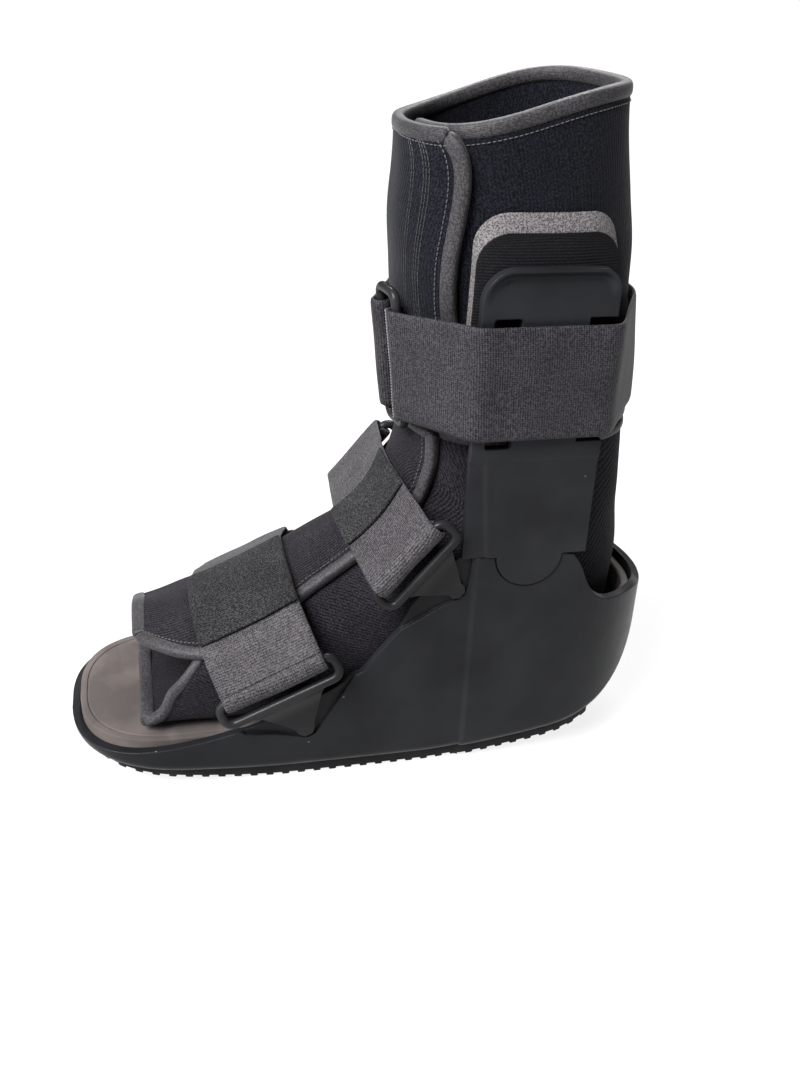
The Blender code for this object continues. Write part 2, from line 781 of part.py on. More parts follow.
class StrapPlace:
    """Where a strap crosses the boot: its loops' lower bars, their slope, and the planes across them."""

    def __init__(self, bar_x, bar_z, slope, out):
        self.origin = Vector((bar_x, 0.0, bar_z))
        self.along = Vector((math.cos(slope), 0.0, math.sin(slope)))
        self.up = Vector((-math.sin(slope), 0.0, math.cos(slope)))
        self.lower_side = shell_half_width + out
        self.upper_side = self.lower_side - loop_lean

    def place(self, share, side, height):
        return self.origin + self.along * share + self.up * height + Vector((0, side, 0))

    def liner_section(self, share):
        """The liner's outside where this plane crosses it, as sideways and up distances."""
        rows = [foot_row(number) for number in range(len(FOOT_TABLE))] + [leg_row(calf_height)]
        ends = [end for _, end in FOOT_ENDS] + [CUFF_EDGE[0][1]]
        lines = [
            [Vector(liner_outside(row, end, turn)) for row, end in zip(rows, ends)]
            for turn in range(0, 360, 8)
        ]
        return self.crossings(lines, share)

    def crossings(self, lines, share):
        """Where lines cross the plane at this share of the strap's width, above the bars."""
        found = []
        for line in lines:
            for a, b in zip(line, line[1:]):
                before = (a - self.origin).dot(self.along) - share
                after = (b - self.origin).dot(self.along) - share
                if before * after < 0:
                    point = a + (b - a) * (before / (before - after))
                    found.append((point.y, (point - self.origin).dot(self.up)))
        return [(side, up) for side, up in found if up > 0]

    def over_path(self, share, off):
        """The path over the top, from the near bar to the far one, off everything by this much."""
        bars = [(-self.upper_side, loop_depth), (self.upper_side, loop_depth)]
        points = spread(self.liner_section(share), off)
        bead = self.crossings([beads["binding_foot_flap"]], share)
        points += spread(bead, off + binding_radius + 6 * clearance)
        points += spread(bars, off + bar_radius + 2 * clearance, 12)
        outline = hull(points)
        far = max(range(len(outline)), key=lambda number: outline[number][0])
        return [outline[0]] + outline[far:][::-1]

    def round_bar(self, path, side, radius):
        """The strap's turn round one bar, from its inner end to where it leaves the bar."""
        centre = (side * self.upper_side, loop_depth)
        on_bar = [point for point in path if math.dist(point, centre) < 1.01 * radius]
        leaving = on_bar[-1]
        angle = math.degrees(math.atan2(leaving[1] - centre[1], -side * (leaving[0] - centre[0])))
        turned = arc((0, 0), radius, 360, 180, 6) + arc((0, 0), radius, 180, 180 - angle, 2)[1:]
        return [(centre[0] - side * x, centre[1] + y) for x, y in turned], leaving

    def strap_grid(self, rows, columns, width):
        off = 2 * clearance + strap_thickness / 2
        radius = off + bar_radius + 2 * clearance
        grid = []
        for row in range(rows + 1):
            share = width * (row / rows - 0.5)
            over = self.over_path(share, off)
            near, first = self.round_bar(over, -1, radius)
            far, last = self.round_bar(over[::-1], 1, radius)
            middle = over[over.index(first) : over.index(last) + 1]
            path = [(near[0][0], near[0][1] + strap_return)] + near
            path += evenly(middle, columns)[1:-1] + far[::-1]
            path.append((far[0][0], far[0][1] + strap_return))
            grid.append([self.place(share, side, up) for side, up in path])
        return grid

    def tab_grid(self, rows, columns, width, first, last):
        off = 3 * clearance + strap_thickness + tab_thickness / 2
        grid = []
        for row in range(rows + 1):
            share = width * (row / rows - 0.5)
            over = evenly(self.over_path(share, off), columns, first, last)
            grid.append([self.place(share, side, up) for side, up in over])
        return grid


def build_loop(name, where, apex, length):
    """A round-cornered bar frame with a triangular tongue that runs down into the shell's pocket."""
    half = length / 2
    corners = round_box((-half, 0.0), (half, loop_depth), loop_round, 3)
    path = []
    for share, height in corners:
        side = where.lower_side + (where.upper_side - where.lower_side) * height / loop_depth
        path.append(where.place(share, -side, height))
    frame = rod(name, path, bar_radius, closed=True, sides=2)
    foot = where.place(0.0, 0.0, -apex)
    low_side = half_width(foot.x) - recess_depth + 2 * clearance + tongue_thickness / 2
    rings = []
    wide = 0.74 * half
    for height, side, start, end in (
        (0.0, where.lower_side, -0.95 * wide, wide),
        (-0.30 * apex, low_side + 0.30 * (where.lower_side - low_side), -0.70 * wide, 0.74 * wide),
        (-0.55 * apex, low_side, -0.48 * wide, 0.52 * wide),
        (-0.90 * apex, low_side, -tongue_neck, tongue_neck),
        (-apex, low_side, -tongue_tip, tongue_tip),
    ):
        half_thick = tongue_thickness / 2
        rings.append([
            where.place(start, -side - half_thick, height), where.place(end, -side - half_thick, height),
            where.place(end, -side + half_thick, height), where.place(start, -side + half_thick, height),
        ])
    tongue = loft(name + "_tongue", rings, cutters)
    boolean(frame, tongue, "UNION")
    return finish(frame, "shell_plastic")


def build_straps():
    forefoot = StrapPlace(along(0.339), 0.470 * shell_top, math.radians(24), forefoot_loop_out)
    ankle = StrapPlace(along(0.557), 0.979 * shell_top, math.radians(50), ankle_loop_out)
    for place, name, apex, share in (
        (forefoot, "forefoot", forefoot_tongue, 1.0), (ankle, "ankle", ankle_tongue, ankle_share),
    ):
        near = build_loop(f"strap_loop_{name}_near", place, apex, share * loop_length)
        finish(mirrored(near, f"strap_loop_{name}_far"), "shell_plastic")
        strap = place.strap_grid(2, 26, share * strap_width)
        finish(sheet(f"{name}_strap", strap, strap_thickness), "webbing")
    tab = forefoot.tab_grid(2, 14, strap_width, forefoot_tab_start, -tab_stop)
    finish(sheet("forefoot_tab", tab, tab_thickness), "hook_tape")
    tab = ankle.tab_grid(2, 10, ankle_share * strap_width, ankle_tab_start, -tab_stop)
    finish(sheet("ankle_tab", tab, tab_thickness), "hook_tape")


def calf_middle(x):
    """The calf strap's mid height: lowest over the strut and higher behind."""
    front = smooth_step(along(0.505), along(0.609), x)
    behind = smooth_step(along(0.817), along(0.903), x)
    return calf_height + calf_climb * (front + behind)


def ring_place(share, height):
    """A place on the calf ring, from its near bar at share 0 to its far one. It leans with the leg."""
    off = liner_lap + strap_thickness + bar_radius + 5 * clearance
    levels = (calf_height - strap_width / 2, calf_height + strap_width / 2)
    bars = [[Vector(liner_point(leg_row(z), turn, off)) for turn in ring_turns] for z in levels]
    low, high = (near + (far - near) * share for near, far in bars)
    return low + (high - low) * (height - levels[0]) / strap_width


def round_bars(outline, near_bar, far_bar, radius, columns, steps=6):
    """The strap's path in plan: out of the fold on the near bar, round the leg, into the far one."""
    on_near = [math.dist(point, near_bar) < 1.01 * radius for point in outline]
    count = len(outline)
    first = next(k for k in range(count) if on_near[k] and not on_near[(k + 1) % count])
    ordered = outline[first:] + outline[:first]
    last = next(k for k in range(1, count) if math.dist(ordered[k], far_bar) < 1.01 * radius)
    path = []
    leaving = math.degrees(math.atan2(ordered[0][1] - near_bar[1], ordered[0][0] - near_bar[0]))
    path += arc(near_bar, radius, leaving - 180, leaving, steps)
    path = [ahead_of(path[0], leaving + 90, strap_return)] + path
    path += evenly(ordered[: last + 1], columns)[1:-1]
    arriving = math.degrees(math.atan2(ordered[last][1] - far_bar[1], ordered[last][0] - far_bar[0]))
    path += arc(far_bar, radius, arriving, arriving + 180, steps)
    return path + [ahead_of(path[-1], arriving - 90, strap_return)]


def ahead_of(point, turn, reach):
    turn = math.radians(turn)
    return (point[0] + reach * math.cos(turn), point[1] + reach * math.sin(turn))


def build_calf_strap():
    off = 4 * clearance + strap_thickness / 2
    fold = 2 * clearance + strap_thickness / 2 + bar_radius
    rows = []
    for row in range(3):
        lift = strap_width * (row / 2 - 0.5)
        height = calf_middle(strut_front + strut_width / 2) + lift
        flap_end = between(CUFF_EDGE, height / cuff_high)[0]
        section = leg_row(height)
        points = [liner_outside(section, flap_end, turn)[:2] for turn in range(0, 360, 6)]
        bead = min(beads["binding_cuff_flap"], key=lambda place: abs(place.z - height))
        for x in (strut_front, strut_front + strut_width):
            points += [(x, -strut_outer - 4 * clearance), (x, strut_outer + 4 * clearance)]
        for share in (0.0, 0.5, 1.0):
            x = pad_front + share * (pad_back - pad_front)
            side = cuff_side(x, height, pad_thickness + pad_seat + clearance)
            points += [(x, -side), (x, side)]
        points = spread(points, off) + spread([bead[:2]], off + binding_radius + clearance)
        bars = [tuple(ring_place(share, calf_height + lift))[:2] for share in (0, 1)]
        outline = hull(points + spread(bars, fold, 12))
        path = round_bars(outline, *bars, fold, 50)
        rows.append([(x, y, calf_middle(x) + lift) for x, y in path])
    finish(sheet("calf_strap", rows, strap_thickness), "webbing")
    low, high = (0.0, -0.57 * strap_width), ((ring_place(1, 0) - ring_place(0, 0)).length, 0.62 * strap_width)
    path = []
    for share, height in round_box(low, high, ring_round, 3):
        path.append(ring_place(share / high[0], calf_height + height))
    finish(rod("calf_ring", path, bar_radius, closed=True, sides=2), "shell_plastic")


build_shell()
build_outsole()
build_footbed()
build_heel_pad()
build_struts()
foot_grid, cuff_grid = build_liner()
build_bindings(foot_grid, cuff_grid)
build_pads()
build_straps()
build_calf_strap()
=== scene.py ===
import math

import bmesh
import bpy
from mathutils import Matrix, Vector, noise


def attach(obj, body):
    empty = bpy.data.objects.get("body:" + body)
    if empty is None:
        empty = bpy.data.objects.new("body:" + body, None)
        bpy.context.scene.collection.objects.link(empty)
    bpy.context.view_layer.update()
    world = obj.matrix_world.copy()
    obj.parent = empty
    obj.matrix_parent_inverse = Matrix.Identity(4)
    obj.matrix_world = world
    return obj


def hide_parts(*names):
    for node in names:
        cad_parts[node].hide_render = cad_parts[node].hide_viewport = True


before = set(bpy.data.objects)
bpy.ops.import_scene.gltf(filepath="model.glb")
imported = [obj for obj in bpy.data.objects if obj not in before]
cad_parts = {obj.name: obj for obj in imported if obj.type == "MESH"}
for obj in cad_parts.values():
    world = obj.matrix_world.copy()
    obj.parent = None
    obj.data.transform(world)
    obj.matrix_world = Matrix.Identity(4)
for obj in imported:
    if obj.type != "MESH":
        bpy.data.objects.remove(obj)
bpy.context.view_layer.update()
scene = bpy.context.scene


# Camera at the photograph's viewing angle
def place_camera():
    yaw, pitch, roll = math.radians(-14.0), math.radians(-28.3), math.radians(2.7)
    ahead = Vector((-math.sin(yaw) * math.cos(pitch), math.cos(yaw) * math.cos(pitch), math.sin(pitch)))
    level = Vector((math.cos(yaw), math.sin(yaw), 0.0))
    upward = level.cross(ahead)
    right = level * math.cos(roll) + upward * math.sin(roll)
    top = upward * math.cos(roll) - level * math.sin(roll)
    camera = bpy.data.objects.new("camera", bpy.data.cameras.new("camera"))
    camera.data.sensor_width = 36.0
    camera.data.lens = 37.11
    camera.data.clip_start = 0.01
    camera.matrix_world = Matrix((
        (right.x, top.x, -ahead.x, -0.0986), (right.y, top.y, -ahead.y, -0.4643),
        (right.z, top.z, -ahead.z, 0.3611), (0.0, 0.0, 0.0, 1.0),
    ))
    scene.collection.objects.link(camera)
    scene.camera = camera


def area_light(name, place, target, width, height, power):
    light = bpy.data.lights.new(name, "AREA")
    light.shape = "RECTANGLE"
    light.size = width
    light.size_y = height
    light.energy = power
    item = bpy.data.objects.new(name, light)
    item.location = place
    item.rotation_mode = "QUATERNION"
    item.rotation_quaternion = (Vector(target) - Vector(place)).to_track_quat("-Z", "Y")
    scene.collection.objects.link(item)


def light_studio():
    scene.view_settings.view_transform = "Standard"
    world = bpy.data.worlds.new("studio")
    scene.world = world
    world.use_nodes = True
    tree = world.node_tree
    shade = tree.nodes["Background"]
    place = tree.nodes.new("ShaderNodeTexCoord")
    split = tree.nodes.new("ShaderNodeSeparateXYZ")
    climb = tree.nodes.new("ShaderNodeMapRange")
    climb.inputs["From Min"].default_value = 0.10
    climb.inputs["From Max"].default_value = 0.50
    climb.inputs["To Min"].default_value = 0.26
    climb.inputs["To Max"].default_value = 0.12
    tree.links.new(place.outputs["Generated"], split.inputs[0])
    tree.links.new(split.outputs["Z"], climb.inputs["Value"])
    tree.links.new(climb.outputs[0], shade.inputs["Strength"])
    shade.inputs["Color"].default_value = (0.98, 0.99, 1.0, 1.0)
    sun = bpy.data.lights.new("soft_sun", "SUN")
    sun.energy = 8.0
    sun.angle = math.radians(35)
    item = bpy.data.objects.new("soft_sun", sun)
    item.rotation_mode = "QUATERNION"
    item.rotation_quaternion = Vector((0.60, 0.33, -0.73)).to_track_quat("-Z", "Y")
    scene.collection.objects.link(item)
    middle = (0.0, 0.0, 0.12)
    area_light("key", (-0.55, -0.55, 0.95), middle, 0.22, 0.35, 8.0)
    area_light("edge", (0.35, 0.70, 0.95), middle, 0.90, 0.10, 16.0)
    area_light("side", (-1.00, -0.35, 0.30), middle, 0.12, 0.60, 4.5)
    mesh = bpy.data.meshes.new("floor")
    mesh.from_pydata([(-30, -30, 0), (30, -30, 0), (30, 30, 0), (-30, 30, 0)], [], [(0, 1, 2, 3)])
    floor = bpy.data.objects.new("floor", mesh)
    scene.collection.objects.link(floor)
    paint = bpy.data.materials.new("pale_floor")
    paint.use_nodes = True
    shader = paint.node_tree.nodes["Principled BSDF"]
    shader.inputs["Base Color"].default_value = (0.12, 0.12, 0.12, 1.0)
    shader.inputs["Roughness"].default_value = 0.9
    shader.inputs["Specular IOR Level"].default_value = 0.1
    shader.inputs["Emission Color"].default_value = (1.0, 1.0, 1.0, 1.0)
    shader.inputs["Emission Strength"].default_value = 0.84
    floor.data.materials.append(paint)


place_camera()
light_studio()

boot = bpy.data.collections.new("dressed_boot")
scene.collection.children.link(boot)
cutters = bpy.data.collections.new("scene_cutters")
scene.collection.children.link(cutters)
cutters.hide_render = True

# Shell
shell_length = 0.2890
shell_half_width = 0.0540
forefoot_half_width = 0.0515
toe_forward = 0.1460
toe_round = 0.055
heel_round = 0.058
shell_wall = 0.0040
recess_depth = 0.0018
shell_top = 0.118
heel_rim = 0.0775
floor_height = 0.0215
heel_floor = 0.0030
under_round = 0.0060
floor_round = 0.0020
clearance = 0.0003
# Sole
sole_thickness = 0.0070
toe_sole_thickness = 0.0040
rib_pitch = 0.0077
rib_share = 0.46
rib_depth = 0.0011
sole_inset = 0.0058
toe_rise = 0.0150
heel_rise = 0.0200
heel_lift = 0.0400
# Foam
footbed_top = 0.0290
heel_pad_thickness = 0.0040
heel_pad_drop = 0.0040
footbed_round = 0.0015
least_footbed = 0.0020
# Struts and their pads
strut_width = 0.0585
strut_top = 0.2490
strut_thickness = 0.0050
strut_proud = 0.0015
strut_front_round = 0.0140
strut_back_round = 0.0090
tab_radius = 0.0155
slot_width = 0.0120
slot_low = 0.1740
slot_high = 0.2290
slot_inset = 0.0055
slot_round = 0.0015
slot_drop = 0.0020
rivet_lift = 0.0040
rivet_hole = 0.0018
pad_thickness = 0.0050
pad_seat = 0.0016
pad_low = 0.1760
pad_high = 0.2690
pad_before = 0.0018
pad_behind = 0.0025
pad_room = 0.0018
pad_round = 0.0140
# Liner
liner_wall = 0.0040
foot_room = 0.0048
cuff_low = 0.1725
cuff_high = 0.3060
rim_drop = 0.0090
rim_climb = 0.0175
binding_radius = 0.0031
# Straps
strap_width = 0.0500
strap_thickness = 0.0020
tab_thickness = 0.0016
forefoot_tab_start = 0.0340
ankle_tab_start = 0.0400
tab_stop = 0.0600
ankle_share = 0.80
strap_return = 0.0018
calf_height = 0.1995
calf_climb = 0.0025
bar_radius = 0.0022
loop_length = 0.0570
loop_depth = 0.0110
loop_round = 0.0045
ring_round = 0.0040
forefoot_tongue = 0.0300
ankle_tongue = 0.0255
tongue_tip = 0.0018
tongue_neck = 0.0042
tongue_thickness = 0.0022
forefoot_loop_out = 0.0072
ankle_loop_out = 0.0045
loop_lean = 0.0018
toe_x = -toe_forward
heel_x = toe_x + shell_length
toe_end = toe_x + toe_round
heel_end = heel_x - heel_round
flat_front = toe_x + 0.349 * shell_length
flat_back = toe_x + 0.574 * shell_length
strut_front = toe_x + 0.619 * shell_length
strut_outer = shell_half_width + strut_proud
pad_front = strut_front - pad_before
pad_back = strut_front + strut_width + pad_behind
leg_half_width = strut_outer - strut_thickness - pad_thickness - pad_room
foot_half_width = shell_half_width - shell_wall - foot_room
round_angles = tuple(range(4, 88, 4))


def add_mesh(name, points, faces, group=boot):
    mesh = bpy.data.meshes.new(name)
    mesh.from_pydata([tuple(point) for point in points], [], faces)
    mesh.update()
    item = bpy.data.objects.new(name, mesh)
    group.objects.link(item)
    if group is cutters:
        item.hide_render = True
        item.display_type = "WIRE"
    return item


def as_mesh(item, name, group=boot):
    """The curve object as a mesh object with its caps welded to its sides."""
    bpy.context.view_layer.update()
    graph = bpy.context.evaluated_depsgraph_get()
    mesh = bpy.data.meshes.new_from_object(item.evaluated_get(graph))
    made = bpy.data.objects.new(name, mesh)
    group.objects.link(made)
    made.matrix_world = item.matrix_world.copy()
    bpy.data.objects.remove(item, do_unlink=True)
    weld(made)
    if group is cutters:
        made.hide_render = True
        made.display_type = "WIRE"
    return made


def weld(item):
    work = bmesh.new()
    work.from_mesh(item.data)
    bmesh.ops.remove_doubles(work, verts=work.verts, dist=1e-6)
    bmesh.ops.recalc_face_normals(work, faces=work.faces)
    work.to_mesh(item.data)
    work.free()


def apply_modifiers(item):
    bpy.context.view_layer.update()
    graph = bpy.context.evaluated_depsgraph_get()
    mesh = bpy.data.meshes.new_from_object(item.evaluated_get(graph))
    item.modifiers.clear()
    item.data = mesh


def boolean(item, other, operation="DIFFERENCE"):
    step = item.modifiers.new(operation.lower(), "BOOLEAN")
    step.operation = operation
    step.solver = "EXACT"
    step.object = other
    apply_modifiers(item)


def loft(name, rings, group=boot):
    """A solid through closed rings of equal length, capped at both ends."""
    count = len(rings[0])
    points = [point for ring in rings for point in ring]
    faces = []
    for row in range(len(rings) - 1):
        for column in range(count):
            here = row * count + column
            beside = row * count + (column + 1) % count
            faces.append((here, beside, beside + count, here + count))
    faces.append(tuple(range(count - 1, -1, -1)))
    faces.append(tuple(range(len(points) - count, len(points))))
    item = add_mesh(name, points, faces, group)
    weld(item)
    return item


def flat_curve(name, outlines, thickness, edge=0.0):
    """A filled 2D curve in its own XY plane, centred on its thickness, with rounded edges."""
    data = bpy.data.curves.new(name + "_curve", "CURVE")
    data.dimensions = "2D"
    data.fill_mode = "BOTH"
    data.extrude = thickness / 2 - edge
    data.bevel_depth = edge
    data.bevel_resolution = 1
    data.offset = -edge
    for outline in outlines:
        spline = data.splines.new("POLY")
        spline.points.add(len(outline) - 1)
        for point, (x, y) in zip(spline.points, outline):
            point.co = (x, y, 0.0, 1.0)
        spline.use_cyclic_u = True
    item = bpy.data.objects.new(name + "_curve", data)
    bpy.context.scene.collection.objects.link(item)
    return item


def side_plate(name, outlines, middle, thickness, edge=0.0, group=boot):
    """A plate whose outline is drawn in X and Z and whose middle plane is at this Y."""
    item = flat_curve(name, outlines, thickness, edge)
    item.matrix_world = Matrix.Translation((0, middle, 0)) @ Matrix.Rotation(math.pi / 2, 4, "X")
    made = as_mesh(item, name, group)
    settle(made)
    return made


def floor_plate(name, outline, low, high, edge=0.0, group=boot):
    item = flat_curve(name, [outline], high - low, edge)
    item.matrix_world = Matrix.Translation((0, 0, (low + high) / 2))
    made = as_mesh(item, name, group)
    settle(made)
    return made


def settle(item):
    """The object's placement moved into its mesh."""
    item.data.transform(item.matrix_world)
    if item.matrix_world.determinant() < 0:
        item.data.flip_normals()
    item.matrix_world = Matrix.Identity(4)


def mirrored(item, name):
    """The same piece for the far side, as its own object."""
    mesh = item.data.copy()
    mesh.transform(Matrix.Scale(-1, 4, (0, 1, 0)))
    mesh.flip_normals()
    made = bpy.data.objects.new(name, mesh)
    boot.objects.link(made)
    return made


def smooth_step(low, high, value):
    share = min(max((value - low) / (high - low), 0.0), 1.0)
    return share * share * (3 - 2 * share)


def arc(centre, radius, start, end, steps):
    """Points on an arc, its angles in degrees."""
    turns = [math.radians(start + (end - start) * step / steps) for step in range(steps + 1)]
    return [(centre[0] + radius * math.cos(t), centre[1] + radius * math.sin(t)) for t in turns]


def round_box(low, high, radius, steps=3):
    """A box outline with round corners, anticlockwise."""
    radius = min(radius, (high[0] - low[0]) / 2.6, (high[1] - low[1]) / 2.6)
    return (
        arc((high[0] - radius, low[1] + radius), radius, -90, 0, steps)
        + arc((high[0] - radius, high[1] - radius), radius, 0, 90, steps)
        + arc((low[0] + radius, high[1] - radius), radius, 90, 180, steps)
        + arc((low[0] + radius, low[1] + radius), radius, 180, 270, steps)
    )


def half_width(x, inset=0.0):
    """Half the boot's width at x, inside the plan outline by the inset."""
    panel_step = shell_half_width - 0.972 * shell_half_width
    bulge = panel_step * smooth_step(toe_x + 0.638 * shell_length, toe_x + 0.648 * shell_length, x)
    rise = smooth_step(toe_end, toe_x + 0.55 * shell_length, x)
    full = forefoot_half_width + (0.972 * shell_half_width - forefoot_half_width) * rise + bulge
    if x < toe_end:
        share = min((toe_end - x) / (toe_round - inset), 1.0)
        return (full - inset) * (1 - share**2.6) ** (1 / 2.6)
    if x > heel_end:
        share = min((x - heel_end) / (heel_round - inset), 1.0)
        return (full - inset) * (1 - share**2.0) ** 0.5
    return full - inset


def stations(inset, middle=48):
    """Places along the boot, close together where its ends turn."""
    front = [toe_end - (toe_round - inset) * math.cos(math.radians(a)) for a in round_angles]
    back = [heel_end + (heel_round - inset) * math.cos(math.radians(a)) for a in round_angles]
    span = heel_end - toe_end
    places = [toe_end + span * step / middle for step in range(middle + 1)]
    ridge = [toe_x + shell_length * (0.636 + 0.0015 * step) for step in range(10)]
    places = [x for x in places if not ridge[0] - 0.001 < x < ridge[-1] + 0.001] + ridge
    return front + sorted(places) + back[::-1]


def plan_outline(inset):
    places = stations(inset)
    near = [(x, -half_width(x, inset)) for x in places]
    far = [(x, half_width(x, inset)) for x in places]
    return near + far[::-1]


def tread_height(x):
    """The lowest line of the sole: flat in the middle and rising to the toe and the heel."""
    if x < flat_front:
        return toe_rise * ((flat_front - x) / (flat_front - toe_x)) ** 1.6
    if x > flat_back:
        share = (x - flat_back) / (heel_x - flat_back)
        return heel_rise * share**1.5 + heel_lift * share**8
    return 0.0


def sole_depth(x):
    share = smooth_step(flat_front, toe_x, x)
    return sole_thickness + (toe_sole_thickness - sole_thickness) * share


def shell_under(x):
    return tread_height(x) + sole_depth(x) + clearance


def tub_ring(x, width, low, high, radius):
    """One section across the boot, with round lower corners."""
    radius = min(radius, 0.8 * width, 0.8 * (high - low))
    near = arc((-width + radius, low + radius), radius, 180, 270, 8)
    far = arc((width - radius, low + radius), radius, 270, 360, 8)
    return [(x, y, z) for y, z in [(-width, high)] + near + far + [(width, high)]]


def tub(name, inset, low_of, high, radius):
    rings = [
        tub_ring(x, half_width(x, inset), low_of(x), high, radius) for x in stations(inset)
    ]
    return loft(name, rings, cutters)


def along(share):
    return toe_x + share * shell_length


# The side's top line from toe to heel: share of the shell's length, share of its height.
TOP_LINE = (
    (-0.02, 0.200), (0.08, 0.203), (0.20, 0.237), (0.262, 0.270), (0.300, 0.293),
    (0.415, 0.427), (0.453, 0.496), (0.471, 0.521), (0.499, 0.611), (0.528, 0.700),
    (0.537, 0.745), (0.553, 0.822), (0.615, 0.990), (0.640, 1.000),
)
HEEL_LINE = (
    (0.805, 0.987), (0.820, 0.932), (0.835, 0.850), (0.853, 0.787), (0.875, 0.750),
    (0.900, 0.737), (0.925, 0.732), (0.955, 0.715), (0.980, 0.682),
)
# Each pocket beside a strap loop: share of the shell's length, share of its height.
FOREFOOT_POCKET = (
    (0.278, 0.262), (0.330, 0.248), (0.372, 0.222), (0.383, 0.222), (0.392, 0.235),
    (0.400, 0.262), (0.453, 0.491), (0.440, 0.620), (0.300, 0.500), (0.250, 0.330),
)
ANKLE_POCKET = (
    (0.527, 0.696), (0.555, 0.735), (0.585, 0.779), (0.618, 0.815), (0.628, 0.835),
    (0.634, 0.868), (0.637, 0.944), (0.639, 1.100), (0.560, 1.100), (0.500, 0.800),
)


def floor_at(x):
    """The shell's inner floor, which rises with the heel."""
    return max(floor_height, shell_under(x) + heel_floor)


# The leg part, as shares: height of the cuff's, back and front places along the shell, half width of
# the leg's. Given as shares of the named sizes that they follow.
LEG_TABLE = (
    (0.4902, 0.9256, 0.5727, 1.00), (0.5621, 0.9187, 0.5692, 1.00), (0.6667, 0.9107, 0.5612, 1.00),
    (0.7418, 0.8997, 0.5474, 1.00), (0.8007, 0.8934, 0.5398, 1.00), (0.8562, 0.8817, 0.5374, 0.98),
    (0.9444, 0.8644, 0.5426, 0.96), (1.0131, 0.8512, 0.5554, 0.95),
)
# The foot part, as shares: place along the shell and height of the shell's for the under point and
# the upper one, half width of the foot's, then how square it is below and above. Given as shares of the
# named sizes that they follow.
FOOT_TABLE = (
    (0.1176, 0.2585, 0.1142, 0.5424, 0.960, 6.0, 2.3),
    (0.1453, 0.2585, 0.1453, 0.5720, 0.965, 6.0, 2.3),
    (0.1765, 0.2585, 0.1782, 0.6017, 0.975, 6.0, 2.3),
    (0.2076, 0.2585, 0.2093, 0.6314, 0.980, 6.0, 2.3),
    (0.2422, 0.2585, 0.2405, 0.6610, 0.990, 6.0, 2.3),
    (0.3149, 0.2585, 0.3080, 0.7305, 1.000, 6.0, 2.3),
    (0.3945, 0.2585, 0.3702, 0.7966, 1.000, 6.0, 2.3),
    (0.4879, 0.2585, 0.4291, 0.8729, 1.000, 6.0, 2.3),
    (0.5917, 0.2585, 0.4740, 0.9449, 1.000, 5.5, 2.3),
    (0.7059, 0.2585, 0.5121, 1.0297, 0.990, 5.0, 2.4),
    (0.8131, 0.2797, 0.5363, 1.1186, 0.970, 3.2, 2.4),
    (0.8962, 0.3729, 0.5519, 1.2119, 0.960, 2.4, 2.5),
    (0.9360, 0.5424, 0.5623, 1.2966, 0.960, 2.2, 2.5),
    (0.9446, 0.7627, 0.5675, 1.3475, 0.965, 2.2, 2.5),
    (0.9343, 1.0593, 0.5692, 1.3983, 0.970, 2.3, 2.5),
    (0.9187, 1.4407, 0.5692, 1.4449, 0.973, 2.5, 2.5),
)


def liner_point(row, turn, out):
    """A point round the liner: 0 is below or behind, 90 is near, 180 is above or in front."""
    under_x, under_z, upper_x, upper_z, width, square_under, square_upper = row
    depth = math.hypot(upper_x - under_x, upper_z - under_z)
    ahead = ((upper_x - under_x) / depth, (upper_z - under_z) / depth)
    cosine = math.cos(math.radians(turn))
    sine = math.sin(math.radians(turn))
    power = 2 / (square_under if cosine > 0 else square_upper)
    reach = -math.copysign(abs(cosine) ** power, cosine) * (depth / 2 + out)
    side = -math.copysign(abs(sine) ** power, sine) * (width + out)
    middle = ((under_x + upper_x) / 2, (under_z + upper_z) / 2)
    return (middle[0] + ahead[0] * reach, side, middle[1] + ahead[1] * reach)


# Where the sheet starts and ends round each foot row, in degrees, start under the flap.
FOOT_ENDS = (
    (56, 164), (82, 150), (104, 137), (124, 128), (142, 124), (160, 129), (164, 141),
    (165, 148), (165, 151), (165, 151), (160, 148), (155, 146), (150, 146), (150, 146),
    (150, 146), (150, 146),
)
# The cuff flap's free edge: share of the cuff's height, degrees round the leg.
CUFF_EDGE = (
    (0.5621, 134), (0.7190, 134), (0.7484, 134), (0.8039, 132), (0.8562, 128), (0.9052, 126),
    (0.9412, 129), (0.9673, 138), (0.9804, 142), (1.0131, 149),
)
liner_lap = liner_wall + 2 * clearance
# Where the calf ring's near and far bars stand round the leg, in degrees.
ring_turns = (160, 177)


def liner_outside(row, end, turn):
    """A point on the outside of the liner, over the flap where it laps."""
    start = 150
    share = (start + 360 - turn) / (start + 360 - end)
    lap = liner_lap * smooth_step(0.74, 0.90, share) if turn > end - 6 else 0.0
    return liner_point(row, turn, lap)


def liner_layer(rows, ends, columns):
    """The liner's middle surface: it starts near the front, goes round the back and ends over itself."""
    grid = []
    for row, (start, end) in zip(rows, ends):
        sweep = start + 360 - end
        line = []
        for column in range(columns + 1):
            share = column / columns
            out = liner_lap * smooth_step(0.74, 0.90, share) - liner_wall / 2
            line.append(liner_point(row, start - sweep * share, out))
        grid.append(line)
    return grid


def rim_height(x):
    """The cuff's top edge, which climbs from the front to the back."""
    return cuff_high - rim_drop + rim_climb * smooth_step(along(0.54), along(0.83), x)


def beside(edge, inner, reach, lift=0.0, centres=None):
    """A path parallel to a sheet's edge, off it by the reach and lifted away from the centres."""
    path = []
    for number, (here, before) in enumerate(zip(edge, inner)):
        place = Vector(here) + (Vector(here) - Vector(before)).normalized() * reach
        if centres:
            place += (Vector(here) - centres[number]).normalized() * lift
        path.append(place)
    return path


def middle_of(points):
    return sum((Vector(point) for point in points), Vector()) / len(points)


